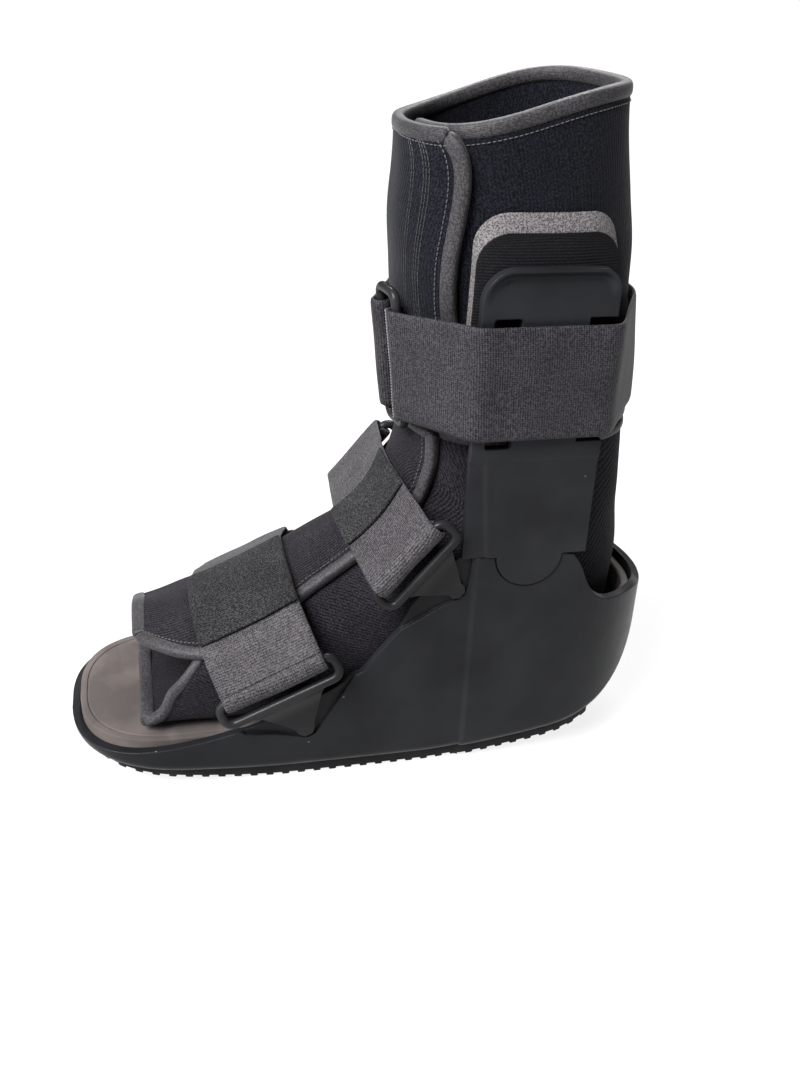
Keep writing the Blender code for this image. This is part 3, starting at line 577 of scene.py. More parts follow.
def cuff_side(x, z, out):
    """How far sideways the leg part reaches at this place, taken this far outside it."""
    back, front, width = between(LEG_TABLE, z / cuff_high)
    back, front = along(back), along(front)
    share = min(abs(x - (back + front) / 2) / ((back - front) / 2 + out), 0.999)
    return (width * leg_half_width + out) * (1 - share**2.5) ** 0.4


def hull(points):
    """The convex outline of some 2D points, anticlockwise from the lowest X."""
    points = sorted(set(points))
    chains = []
    for ordered in (points, points[::-1]):
        chain = []
        for point in ordered:
            while len(chain) > 1 and turn_of(chain[-2], chain[-1], point) <= 0:
                chain.pop()
            chain.append(point)
        chains.append(chain[:-1])
    return chains[0] + chains[1]


def turn_of(a, b, c):
    return (b[0] - a[0]) * (c[1] - a[1]) - (b[1] - a[1]) * (c[0] - a[0])


def spread(points, radius, step=30):
    """Each point with a small circle round it, so that a hull stands off by the radius."""
    around = [math.radians(turn) for turn in range(0, 360, step)]
    return [(x + radius * math.cos(t), y + radius * math.sin(t)) for x, y in points for t in around]


def evenly(path, count, first=0.0, last=None):
    """Points at even distances along a path, between two distances from its start."""
    lengths = [0.0]
    for a, b in zip(path, path[1:]):
        lengths.append(lengths[-1] + math.dist(a, b))
    last = lengths[-1] if last is None else lengths[-1] + last if last < 0 else last
    made = []
    for step in range(count + 1):
        goal = first + (last - first) * step / count
        number = 0
        while number < len(lengths) - 2 and lengths[number + 1] < goal:
            number += 1
        share = (goal - lengths[number]) / (lengths[number + 1] - lengths[number])
        made.append(tuple(p + (q - p) * share for p, q in zip(path[number], path[number + 1])))
    return made



def between(table, key):
    """Each column of a table at this key, on a smooth curve through its rows."""
    keys = [row[0] for row in table]
    if key <= keys[0]:
        return table[0][1:]
    if key >= keys[-1]:
        return table[-1][1:]
    number = max(place for place in range(len(keys) - 1) if keys[place] <= key)
    span = keys[number + 1] - keys[number]
    share = (key - keys[number]) / span
    made = []
    for column in range(1, len(table[0])):
        slopes = []
        for place in (number, number + 1):
            before, after = max(place - 1, 0), min(place + 1, len(keys) - 1)
            slopes.append((table[after][column] - table[before][column]) / (keys[after] - keys[before]))
        a, b = table[number][column], table[number + 1][column]
        made.append(
            a * (1 + 2 * share) * (1 - share) ** 2 + b * share**2 * (3 - 2 * share)
            + span * (slopes[0] * share * (1 - share) ** 2 - slopes[1] * share**2 * (1 - share))
        )
    return tuple(made)


def leg_row(height):
    back, front, width = between(LEG_TABLE, height / cuff_high)
    return (along(back), height, along(front), height, width * leg_half_width, 2.5, 2.5)


FOOT_KEYS = tuple((number, *row) for number, row in enumerate(FOOT_TABLE))
FOOT_END_KEYS = tuple((number, *ends) for number, ends in enumerate(FOOT_ENDS))


def foot_row(number):
    row = between(FOOT_KEYS, number)
    low, high = (along(row[0]), row[1] * shell_top), (along(row[2]), row[3] * shell_top)
    return (*low, *high, row[4] * foot_half_width) + row[5:]


beads = {}
foot_lines = []


def find_beads(foot, cuff):
    """The middle of each flap's edge tape, which the straps pass over."""
    lift = binding_radius - liner_lap + liner_wall / 2 + 5 * clearance
    foot_reach = binding_radius + 2 * clearance
    for name, grid, reach in (("binding_cuff_flap", cuff, 0.0), ("binding_foot_flap", foot, foot_reach)):
        centres = [middle_of(row) for row in grid]
        path = beside([row[-1] for row in grid], [row[-2] for row in grid], reach, lift, centres)
        beads[name] = path
    numbers = [step / 2 for step in range(2 * (len(FOOT_TABLE) - 1) + 1)]
    rows = [foot_row(number) for number in numbers] + [leg_row(calf_height)]
    ends = [between(FOOT_END_KEYS, number)[1] for number in numbers] + [CUFF_EDGE[0][1]]
    for turn in range(0, 360, 4):
        foot_lines.append([Vector(liner_outside(row, end, turn)) for row, end in zip(rows, ends)])


class StrapPlace:
    """Where a strap crosses the boot: its loops' lower bars, their slope, and the planes across them."""

    def __init__(self, bar_x, bar_z, slope, out):
        self.origin = Vector((bar_x, 0.0, bar_z))
        self.along = Vector((math.cos(slope), 0.0, math.sin(slope)))
        self.up = Vector((-math.sin(slope), 0.0, math.cos(slope)))
        self.lower_side = shell_half_width + out
        self.upper_side = self.lower_side - loop_lean

    def place(self, share, side, height):
        return self.origin + self.along * share + self.up * height + Vector((0, side, 0))

    def liner_section(self, share):
        """The liner's outside where this plane crosses it, as sideways and up distances."""
        return self.crossings(foot_lines, share)

    def crossings(self, lines, share):
        """Where lines cross the plane at this share of the strap's width, above the bars."""
        found = []
        for line in lines:
            for a, b in zip(line, line[1:]):
                before = (a - self.origin).dot(self.along) - share
                after = (b - self.origin).dot(self.along) - share
                if before * after < 0:
                    point = a + (b - a) * (before / (before - after))
                    found.append((point.y, (point - self.origin).dot(self.up)))
        return [(side, up) for side, up in found if up > 0]

    def over_path(self, share, off):
        """The path over the top, from the near bar to the far one, off everything by this much."""
        bars = [(-self.upper_side, loop_depth), (self.upper_side, loop_depth)]
        points = spread(self.liner_section(share), off)
        bead = self.crossings([beads["binding_foot_flap"]], share)
        points += spread(bead, off + binding_radius + 6 * clearance)
        points += spread(bars, off + bar_radius + 2 * clearance, 6)
        outline = hull(points)
        far = max(range(len(outline)), key=lambda number: outline[number][0])
        return [outline[0]] + outline[far:][::-1]

    def round_bar(self, path, side, radius):
        """The strap's turn round one bar, from its inner end to where it leaves the bar."""
        centre = (side * self.upper_side, loop_depth)
        on_bar = [point for point in path if math.dist(point, centre) < 1.01 * radius]
        leaving = on_bar[-1]
        angle = math.degrees(math.atan2(leaving[1] - centre[1], -side * (leaving[0] - centre[0])))
        turned = arc((0, 0), radius, 360, 180, 14) + arc((0, 0), radius, 180, 180 - angle, 5)[1:]
        return [(centre[0] - side * x, centre[1] + y) for x, y in turned], leaving

    def strap_grid(self, rows, columns, width):
        off = 2 * clearance + strap_thickness / 2
        radius = off + bar_radius + 2 * clearance
        grid = []
        for row in range(rows + 1):
            share = width * (row / rows - 0.5)
            over = self.over_path(share, off)
            near, first = self.round_bar(over, -1, radius)
            far, last = self.round_bar(over[::-1], 1, radius)
            middle = over[over.index(first) : over.index(last) + 1]
            path = [(near[0][0], near[0][1] + strap_return)] + near
            spaced = [tuple(point) for point in calm([(*p, 0.0) for p in evenly(middle, columns)], 8)]
            path += [point[:2] for point in spaced[1:-1]] + far[::-1]
            path.append((far[0][0], far[0][1] + strap_return))
            grid.append([self.place(share, side, up) for side, up in path])
        return grid

    def tab_grid(self, rows, columns, width, first, last):
        off = 3 * clearance + strap_thickness + tab_thickness / 2
        grid = []
        for row in range(rows + 1):
            share = width * (row / rows - 0.5)
            over = evenly(self.over_path(share, off), columns, first, last)
            over = [tuple(point)[:2] for point in calm([(*p, 0.0) for p in over], 8)]
            grid.append([self.place(share, side, up) for side, up in over])
        return grid


def calf_middle(x):
    """The calf strap's mid height: lowest over the strut and higher behind."""
    front = smooth_step(along(0.505), along(0.609), x)
    behind = smooth_step(along(0.817), along(0.903), x)
    return calf_height + calf_climb * (front + behind)


def ring_place(share, height):
    """A place on the calf ring, from its near bar at share 0 to its far one. It leans with the leg."""
    off = liner_lap + strap_thickness + bar_radius + 5 * clearance
    levels = (calf_height - strap_width / 2, calf_height + strap_width / 2)
    bars = [[Vector(liner_point(leg_row(z), turn, off)) for turn in ring_turns] for z in levels]
    low, high = (near + (far - near) * share for near, far in bars)
    return low + (high - low) * (height - levels[0]) / strap_width


def round_bars(outline, near_bar, far_bar, radius, columns, steps=6):
    """The strap's path in plan: out of the fold on the near bar, round the leg, into the far one."""
    on_near = [math.dist(point, near_bar) < 1.01 * radius for point in outline]
    count = len(outline)
    first = next(k for k in range(count) if on_near[k] and not on_near[(k + 1) % count])
    ordered = outline[first:] + outline[:first]
    last = next(k for k in range(1, count) if math.dist(ordered[k], far_bar) < 1.01 * radius)
    path = []
    leaving = math.degrees(math.atan2(ordered[0][1] - near_bar[1], ordered[0][0] - near_bar[0]))
    path += arc(near_bar, radius, leaving - 180, leaving, steps)
    path = [ahead_of(path[0], leaving + 90, strap_return)] + path
    path += evenly(ordered[: last + 1], columns)[1:-1]
    arriving = math.degrees(math.atan2(ordered[last][1] - far_bar[1], ordered[last][0] - far_bar[0]))
    path += arc(far_bar, radius, arriving, arriving + 180, steps)
    return path + [ahead_of(path[-1], arriving - 90, strap_return)]


def ahead_of(point, turn, reach):
    turn = math.radians(turn)
    return (point[0] + reach * math.cos(turn), point[1] + reach * math.sin(turn))


# Materials
class Recipe:
    """A material and a short way to add nodes to it."""

    def __init__(self, name, colour, roughness, specular=0.5, sheen=0.0):
        self.material = bpy.data.materials.new(name)
        self.material.use_nodes = True
        self.tree = self.material.node_tree
        self.shader = self.tree.nodes["Principled BSDF"]
        self.shader.inputs["Base Color"].default_value = (*colour, 1.0)
        self.shader.inputs["Roughness"].default_value = roughness
        self.shader.inputs["Specular IOR Level"].default_value = specular
        self.shader.inputs["Sheen Weight"].default_value = sheen
        self.shader.inputs["Sheen Roughness"].default_value = 0.45
        self.colour = colour

    def node(self, kind, inputs=(), **settings):
        made = self.tree.nodes.new("ShaderNode" + kind)
        for key, value in settings.items():
            setattr(made, key, value)
        for key, value in dict(inputs).items():
            if hasattr(value, "links"):
                self.tree.links.new(value, made.inputs[key])
            else:
                made.inputs[key].default_value = value
        return made

    def math(self, operation, a, b=0.0, c=0.0):
        return self.node("Math", {0: a, 1: b, 2: c}, operation=operation).outputs[0]

    def surface(self, scale=(1, 1, 1), turn=0.0, source="UV"):
        """Coordinates in metres times a scale, turned in their own plane."""
        place = self.node("TexCoord").outputs[source]
        turned = self.node("Mapping", {"Vector": place, "Rotation": (0, 0, math.radians(turn))})
        return self.node("Mapping", {"Vector": turned.outputs[0], "Scale": scale}).outputs[0]

    def noise(self, scale, detail=2.0, source="Object", stretch=(1, 1, 1)):
        place = self.surface(stretch, source=source)
        made = self.node("TexNoise", {"Vector": place, "Scale": scale, "Detail": detail})
        return made.outputs[0]

    def waves(self, pitch, turn=0.0, wobble=0.0, along=0):
        """Even ridges 0 to 1 across the surface, this far apart in metres."""
        place = self.surface((1 / pitch, 1 / pitch, 1), turn)
        split = self.node("SeparateXYZ", {0: place}).outputs[along]
        if wobble:
            shift = self.math("MULTIPLY", self.noise(900.0, 1.0), wobble)
            split = self.math("ADD", split, shift)
        turns = self.math("MULTIPLY", split, 2 * math.pi)
        return self.math("MULTIPLY_ADD", self.math("SINE", turns), 0.5, 0.5)

    def between(self, value, low, high):
        """The value stretched from this range to 0..1 and kept inside it."""
        return self.node("MapRange", {"Value": value, "From Min": low, "From Max": high}).outputs[0]

    def blend(self, share, first, second):
        mixed = self.node("Mix", data_type="RGBA")
        self.tree.links.new(share, mixed.inputs[0])
        for socket, value in ((mixed.inputs[6], first), (mixed.inputs[7], second)):
            if hasattr(value, "links"):
                self.tree.links.new(value, socket)
            else:
                socket.default_value = (*value, 1.0)
        return mixed.outputs[2]

    def paint(self, colour):
        self.tree.links.new(colour, self.shader.inputs["Base Color"])

    def polish(self, share, rough_low, rough_high):
        value = self.node("MapRange", {"Value": share, "To Min": rough_low, "To Max": rough_high})
        self.tree.links.new(value.outputs[0], self.shader.inputs["Roughness"])

    def relief(self, height, depth, rounding=0.0):
        """Bump of this depth in metres over edges softened by the rounding."""
        bump = self.node("Bump", {"Height": height, "Distance": depth, "Strength": 1.0})
        if rounding:
            soft = self.node("Bevel", {"Radius": rounding}, samples=6)
            self.tree.links.new(soft.outputs[0], bump.inputs["Normal"])
        self.tree.links.new(bump.outputs[0], self.shader.inputs["Normal"])


def plastic(name, colour, roughness, grain, rounding, dust=0.0):
    recipe = Recipe(name, colour, roughness, 0.11)
    cloud = recipe.noise(28.0, 3.0)
    worn = tuple(channel * 1.9 for channel in colour)
    paint = recipe.blend(recipe.between(cloud, 0.35, 0.75), colour, worn)
    if dust:
        place = recipe.surface(source="Object")
        specks = recipe.node("TexVoronoi", {"Vector": place, "Scale": 95.0}).outputs["Distance"]
        rare = recipe.between(recipe.noise(60.0, 0.0), 0.60, 0.66)
        near = recipe.between(specks, 0.055, 0.03)
        dusty = recipe.math("MULTIPLY", recipe.math("MULTIPLY", near, rare), dust)
        paint = recipe.blend(dusty, paint, (0.35, 0.35, 0.35))
    recipe.paint(paint)
    recipe.polish(recipe.noise(140.0, 4.0), roughness - 0.06, roughness + 0.10)
    recipe.relief(recipe.noise(grain, 2.0), 0.00004, rounding)
    return recipe.material


def rubber():
    recipe = Recipe("tread_rubber", (0.009, 0.009, 0.010), 0.52, 0.11)
    worn = recipe.between(recipe.noise(60.0, 4.0), 0.45, 0.8)
    recipe.paint(recipe.blend(worn, (0.008, 0.008, 0.009), (0.018, 0.017, 0.017)))
    recipe.polish(recipe.noise(300.0, 3.0), 0.42, 0.60)
    recipe.relief(recipe.noise(1500.0, 2.0), 0.00006, 0.0003)
    return recipe.material


def insole():
    recipe = Recipe("insole_foam", (0.13, 0.105, 0.095), 0.82, 0.25)
    stains = recipe.between(recipe.noise(34.0, 5.0), 0.42, 0.68)
    paint = recipe.blend(stains, (0.052, 0.044, 0.042), (0.090, 0.075, 0.070))
    streaks = recipe.between(recipe.noise(60.0, 4.0, stretch=(1.0, 0.25, 1.0)), 0.55, 0.75)
    recipe.paint(recipe.blend(recipe.math("MULTIPLY", streaks, 0.5), paint, (0.125, 0.108, 0.102)))
    recipe.polish(recipe.noise(200.0, 3.0), 0.7, 0.95)
    recipe.relief(recipe.noise(2600.0, 3.0), 0.00008, 0.0008)
    return recipe.material


def open_foam(name, dark, light, depth):
    recipe = Recipe(name, light, 0.9, 0.3)
    place = recipe.surface(source="Object")
    cells = recipe.node("TexVoronoi", {"Vector": place, "Scale": 1500.0}).outputs["Distance"]
    grain = recipe.between(recipe.math("MULTIPLY", cells, recipe.noise(1100.0, 2.0)), 0.05, 0.34)
    recipe.paint(recipe.blend(grain, dark, light))
    recipe.relief(grain, depth)
    return recipe.material


def knit(name, dark, light, pitch, turn, depth, fuzz=0.35, sheen=0.03, cross=None):
    """Ribbed cloth: lines of stitches at an angle, broken into short loops."""
    recipe = Recipe(name, dark, 0.88, 0.08, sheen)
    lines = recipe.waves(pitch, turn, 0.12)
    loops = recipe.waves(cross or 0.9 * pitch, turn + 62, 0.2)
    weave = recipe.math("MULTIPLY", lines, recipe.math("MULTIPLY_ADD", loops, 0.5, 0.5))
    fibres = recipe.noise(1300.0, 3.0)
    woven = recipe.math("MULTIPLY", weave, 1 - fuzz)
    tone = recipe.math("MULTIPLY_ADD", recipe.between(fibres, 0.45, 0.60), fuzz, woven)
    patches = recipe.between(recipe.noise(45.0, 3.0), 0.3, 0.7)
    tone = recipe.math("MULTIPLY", tone, recipe.math("MULTIPLY_ADD", patches, 0.4, 0.75))
    recipe.paint(recipe.blend(tone, dark, light))
    recipe.relief(recipe.math("MULTIPLY_ADD", fibres, 0.4, weave), depth)
    return recipe.material


def webbing(name, dark, light, pitch, depth, shine=0.62, turn=0.0, sheen=0.03):
    """Close woven tape: fine ribs across both ways, with single strands painted lighter as glints, where
    they would catch the light.
    """
    recipe = Recipe(name, dark, shine, 0.16, sheen)
    warp = recipe.waves(pitch, turn, 0.10)
    weft = recipe.waves(0.8 * pitch, turn + 90, 0.10)
    crossed = recipe.math("MULTIPLY", warp, weft)
    weave = recipe.math("MULTIPLY_ADD", crossed, 0.7, recipe.math("MULTIPLY", warp, 0.3))
    thread_glints = recipe.noise(1200.0, 2.0)
    woven = recipe.math("MULTIPLY", weave, 0.55)
    # The lighter strand specks are painted glints; the same noise also raises the strands in the bump.
    tone = recipe.math("MULTIPLY_ADD", recipe.between(thread_glints, 0.43, 0.60), 0.45, woven)
    patches = recipe.between(recipe.noise(60.0, 3.0), 0.3, 0.7)
    tone = recipe.math("MULTIPLY", tone, recipe.math("MULTIPLY_ADD", patches, 0.35, 0.8))
    recipe.paint(recipe.blend(tone, dark, light))
    recipe.relief(recipe.math("MULTIPLY_ADD", thread_glints, 0.25, weave), depth)
    return recipe.material


def thread(name, colour):
    recipe = Recipe(name, colour, 0.6, 0.4, 0.2)
    twist = recipe.noise(3500.0, 1.0)
    recipe.paint(recipe.blend(twist, tuple(channel * 0.5 for channel in colour), colour))
    recipe.relief(twist, 0.00005)
    return recipe.material


SHELL = plastic("shell_plastic_look", (0.0068, 0.0070, 0.0080), 0.34, 2200.0, 0.0012, 0.9)
STRUT = plastic("strut_plastic_look", (0.0080, 0.0082, 0.0094), 0.32, 2600.0, 0.0009, 0.5)
BUCKLE = plastic("buckle_plastic_look", (0.0085, 0.0085, 0.0092), 0.29, 1800.0, 0.0005)
TREAD = rubber()
INSOLE = insole()
HEEL_FOAM = open_foam("heel_foam_look", (0.030, 0.026, 0.025), (0.085, 0.075, 0.070), 0.00012)
PAD_FOAM = open_foam("pad_foam_look", (0.012, 0.011, 0.012), (0.120, 0.110, 0.114), 0.0002)
PAD_FACE = knit(
    "pad_face_look", (0.0030, 0.0030, 0.0034), (0.009, 0.009, 0.011),
    pitch=0.00125, turn=90, depth=0.00018, fuzz=0.45, sheen=0.02, cross=0.0016,
)
FOOT_KNIT = knit(
    "foot_knit_look", (0.0005, 0.0004, 0.0007), (0.024, 0.021, 0.027),
    pitch=0.00150, turn=24, depth=0.00022, fuzz=0.5,
)
CUFF_KNIT = knit(
    "cuff_knit_look", (0.0004, 0.0005, 0.0010), (0.0095, 0.0100, 0.0170),
    pitch=0.00150, turn=0, depth=0.00012, fuzz=0.72, sheen=0.06, cross=0.0011,
)
BINDING = webbing(
    "binding_look", (0.0060, 0.0056, 0.0062), (0.060, 0.056, 0.062),
    pitch=0.00065, depth=0.00005, shine=0.50, sheen=0.05,
)
WEBBING = webbing(
    "webbing_look", (0.0030, 0.0028, 0.0032), (0.080, 0.074, 0.081), pitch=0.00120, depth=0.00014,
)
CALF_WEB = webbing(
    "calf_webbing_look", (0.0012, 0.0011, 0.0015), (0.046, 0.042, 0.050),
    pitch=0.00105, depth=0.00012, shine=0.6,
)
HOOK = knit(
    "hook_tape_look", (0.0012, 0.0013, 0.0014), (0.036, 0.036, 0.038),
    pitch=0.00120, turn=0, depth=0.00016, fuzz=0.65, sheen=0.02, cross=0.0012,
)
THREAD = thread("thread_look", (0.060, 0.058, 0.060))
DARK_THREAD = thread("dark_thread_look", (0.020, 0.019, 0.021))
SEAM_THREAD = thread("seam_thread_look", (0.170, 0.166, 0.170))

# Finish
cloth_inset = 0.0004
tape_extra = 0.0016
seam_lift = 0.0001
cuff_seam_inset = 0.0068
foot_seam_inset = 0.0056
flap_rib_insets = (0.0150, 0.0164, 0.0178, 0.0230, 0.0244)
foam_front = 0.0044
foam_slope = 0.0064
pad_face_front = 0.0047
pad_face_slope = 0.0068
pad_face_thickness = 0.0007
groove_inset = 0.0034
groove_radius = 0.0005
rib_bevel = 0.0004
bar_sides = 14


# Shared builders
def dress(item, material, slot, *nodes, smooth=True):
    """The piece with its material, riding on the boot in place of its CAD nodes."""
    item.data.materials.clear()
    item.data.materials.append(material)
    item.data.polygons.foreach_set("use_smooth", [smooth] * len(item.data.polygons))
    if nodes:
        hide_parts(*nodes)
    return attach(item, "root")


def running(points):
    lengths = [0.0]
    for a, b in zip(points, points[1:]):
        lengths.append(lengths[-1] + (Vector(b) - Vector(a)).length)
    return lengths


def grid_mesh(name, rows, wrap=False, caps=False, group=boot):
    """A skin over rows of points, with a flat map of it in metres measured from its middle."""
    count = len(rows[0])
    lines = [list(row) + [row[0]] if wrap else list(row) for row in rows]
    along = [running(line) for line in lines]
    across = [running([line[place] for line in lines]) for place in range(len(lines[0]))]
    middle, centre = len(lines[0]) // 2, len(lines) // 2
    faces = []
    flat = []
    for row in range(len(rows) - 1):
        for column in range(count if wrap else count - 1):
            beside = (column + 1) % count
            faces.append((
                row * count + column, row * count + beside,
                (row + 1) * count + beside, (row + 1) * count + column,
            ))
            for i, j in ((row, column), (row, column + 1), (row + 1, column + 1), (row + 1, column)):
                flat.append((along[i][j] - along[i][middle], across[j][i] - across[j][centre]))
    if caps:
        faces.append(tuple(range(count - 1, -1, -1)))
        faces.append(tuple(range(len(rows) * count - count, len(rows) * count)))
        flat += [(0.0, 0.0)] * (2 * count)
    mesh = bpy.data.meshes.new(name)
    mesh.from_pydata([tuple(point) for row in rows for point in row], [], faces)
    layer = mesh.uv_layers.new(name="flat")
    for loop, place in zip(layer.data, flat):
        loop.uv = place
    item = bpy.data.objects.new(name, mesh)
    group.objects.link(item)
    return item


def cloth(name, rows, thickness, levels=1):
    """A soft sheet of this thickness with rounded edges."""
    item = grid_mesh(name, rows)
    wall = item.modifiers.new("wall", "SOLIDIFY")
    wall.thickness = thickness
    wall.offset = 0.0
    wall.use_quality_normals = True
    if levels:
        rounded = item.modifiers.new("rounded", "SUBSURF")
        rounded.levels = levels
        rounded.render_levels = levels
    apply_modifiers(item)
    return item


def normals_of(rows):
    """The direction square to a grid at each of its points."""
    last = len(rows) - 1
    made = []
    for i, row in enumerate(rows):
        line = []
        for j in range(len(row)):
            a = Vector(rows[min(i + 1, last)][j]) - Vector(rows[max(i - 1, 0)][j])
            b = Vector(row[min(j + 1, len(row) - 1)]) - Vector(row[max(j - 1, 0)])
            line.append(b.cross(a).normalized())
        made.append(line)
    return made


def rumpled(rows, amount, size, seed=0.0, share=lambda i, j: 1.0):
    """The grid with soft dents of this depth and size, square to its surface."""
    made = []
    for i, (row, squares) in enumerate(zip(rows, normals_of(rows))):
        line = []
        for j, (point, square) in enumerate(zip(row, squares)):
            place = Vector(point) / size + Vector((seed, 2 * seed, 3 * seed))
            line.append(Vector(point) + square * amount * share(i, j) * noise.noise(place))
        made.append(line)
    return made


def moved(rows, off):
    """The grid moved off itself by a distance, which may be a function of row and column."""
    reach = off if callable(off) else lambda i, j: off
    return [
        [Vector(point) + square * reach(i, j) for j, (point, square) in enumerate(zip(row, squares))]
        for i, (row, squares) in enumerate(zip(rows, normals_of(rows)))
    ]


def calm(points, passes):
    """A path with its corners eased, its ends kept."""
    points = [Vector(point) for point in points]
    for _ in range(passes):
        eased = [(a + 2 * b + c) / 4 for a, b, c in zip(points, points[1:], points[2:])]
        points = [points[0]] + eased + [points[-1]]
    return points


def tape(name, edge, inner, thick, inward, outward, material, slot, *nodes, pucker=0.06):
    """A tape folded over a sheet's edge. It reaches this far inward and outward along the sheet."""
    edge = [Vector(point) for point in edge]
    inner = [Vector(point) for point in inner]
    rings = []
    for place, (here, before) in enumerate(zip(edge, inner)):
        run = (edge[min(place + 1, len(edge) - 1)] - edge[max(place - 1, 0)]).normalized()
        out = here - before
        out = (out - run * out.dot(run)).normalized()
        across = run.cross(out)
        centre = here + out * (outward - inward) / 2
        gather = 1 + pucker * noise.noise(here / 0.004)
        ends = {0: 0.5, len(edge) - 1: 0.5}.get(place, 1.0)
        ring = []
        for step in range(14):
            turn = 2 * math.pi * step / 14
            a = math.copysign(abs(math.cos(turn)) ** 0.75, math.cos(turn)) * (outward + inward) / 2
            b = math.copysign(abs(math.sin(turn)) ** 0.65, math.sin(turn)) * thick / 2 * gather
            ring.append(centre + (out * a + across * b) * ends)
        rings.append(ring)
    item = grid_mesh(name, rings, wrap=True, caps=True)
    rounded = item.modifiers.new("rounded", "SUBSURF")
    rounded.levels = 1
    rounded.render_levels = 1
    apply_modifiers(item)
    dress(item, material, slot, *nodes)


def stitches(name, runs, pitch, length, radius, material, slot, across=False):
    """Rows of stitches, along each run or across it. A run is a path and the directions square to it."""
    points = []
    faces = []
    turns = [2 * math.pi * k / 6 for k in range(6)]
    for path, squares in runs:
        total = running(path)[-1]
        count = max(int(total / pitch), 1)
        places = evenly([tuple(point) for point in path], count)
        for number in range(count):
            a, b = Vector(places[number]), Vector(places[number + 1])
            run = (b - a).normalized()
            square = Vector(squares[min(int(number * len(squares) / count), len(squares) - 1)])
            square = (square - run * square.dot(run)).normalized()
            beside = run.cross(square)
            if across:
                run, beside = beside, -run
            centre = (a + b) / 2
            base = len(points)
            for at, thick in ((-0.5, 0.35), (-0.3, 0.9), (0.3, 0.9), (0.5, 0.35)):
                dip = square * (-radius * (1 - thick) * 1.2)
                spot = centre + run * at * length + dip
                for turn in turns:
                    around = square * math.cos(turn) + beside * math.sin(turn)
                    points.append(spot + around * radius * thick)
            for ring in range(3):
                for k in range(6):
                    here, other = base + 6 * ring + k, base + 6 * ring + (k + 1) % 6
                    faces.append((here, other, other + 6, here + 6))
            faces.append(tuple(range(base + 5, base - 1, -1)))
            faces.append(tuple(range(base + 18, base + 24)))
    dress(add_mesh(name, points, faces), material, slot)


def round_bar(name, path, radius, aside):
    """A closed bar along the path. Its rings start from the direction given."""
    rings = []
    for place, here in enumerate(path):
        run = (path[(place + 1) % len(path)] - path[place - 1]).normalized()
        square = (aside - run * aside.dot(run)).normalized()
        beside = run.cross(square)
        ring = []
        for k in range(bar_sides):
            turn = 2 * math.pi * k / bar_sides
            ring.append(here + (square * math.cos(turn) + beside * math.sin(turn)) * radius)
        rings.append(ring)
    rings.append(rings[0])
    bar = grid_mesh(name, rings, wrap=True)
    weld(bar)
    return bar


def block_between(name, front, behind):
    """A solid between two grids, its edge running straight from one to the other."""
    tall, wide = len(front), len(front[0])
    points = [point for row in front + behind for point in row]
    half = tall * wide
    faces = []
    for i in range(tall - 1):
        for j in range(wide - 1):
            a = i * wide + j
            faces.append((a, a + 1, a + wide + 1, a + wide))
            faces.append((half + a, half + a + wide, half + a + wide + 1, half + a + 1))
    for j in range(wide - 1):
        top = (tall - 1) * wide + j
        faces.append((j, half + j, half + j + 1, j + 1))
        faces.append((top, top + 1, half + top + 1, half + top))
    for i in range(tall - 1):
        a, b = i * wide, i * wide + wide - 1
        faces.append((a, a + wide, half + a + wide, half + a))
        faces.append((b, half + b, half + b + wide, b + wide))
    item = add_mesh(name, points, faces)
    weld(item)
    return item


def line_on(rows, column, off):
    """A path down one column of a grid, this far off it, and the directions square to it."""
    squares = [line[column] for line in normals_of(rows)]
    path = [Vector(row[column]) + square * off for row, square in zip(rows, squares)]
    return path, squares


def inside_edge(lines, reach, off):
    """A path this far in from the last point of each line, off it, and the directions square to it."""
    grids = normals_of(lines)
    path, squares = [], []
    for line, made in zip(lines, grids):
        left = reach
        place = len(line) - 1
        while place > 1 and left > (Vector(line[place]) - Vector(line[place - 1])).length:
            left -= (Vector(line[place]) - Vector(line[place - 1])).length
            place -= 1
        here, before = Vector(line[place]), Vector(line[place - 1])
        squares.append(made[place])
        path.append(here + (before - here).normalized() * left + made[place] * off)
    return path, squares


def turned_grid(rows):
    """The same grid with its columns as rows."""
    return [list(line) for line in zip(*rows)]


# Shell, sole and foam
def smooth_line(points, steps=6):
    """A curve through the points."""
    made = []
    count = len(points)
    for number in range(count - 1):
        a, b = points[max(number - 1, 0)], points[number]
        c, d = points[number + 1], points[min(number + 2, count - 1)]
        for step in range(steps):
            t = step / steps
            spot = []
            for p, q, r, s in zip(a, b, c, d):
                bend = (2 * p - 5 * q + 4 * r - s) * t * t + (3 * q - p - 3 * r + s) * t**3
                spot.append(0.5 * (2 * q + (r - p) * t + bend))
            made.append(tuple(spot))
    return made + [points[-1]]


def fine_top_outline():
    tab_x = strut_front + 0.54 * strut_width
    line = [(along(share), height * shell_top) for share, height in smooth_line(TOP_LINE, 5)]
    notch = arc((tab_x, shell_top), tab_radius + clearance, 180, 360, 40)
    back = [(along(share), height * shell_top) for share, height in smooth_line(HEEL_LINE, 5)]
    back.append((heel_x + 0.01, heel_rim))
    top = 2 * shell_top
    return line + notch + back + [(heel_x + 0.01, top), (toe_x - 0.01, top)]


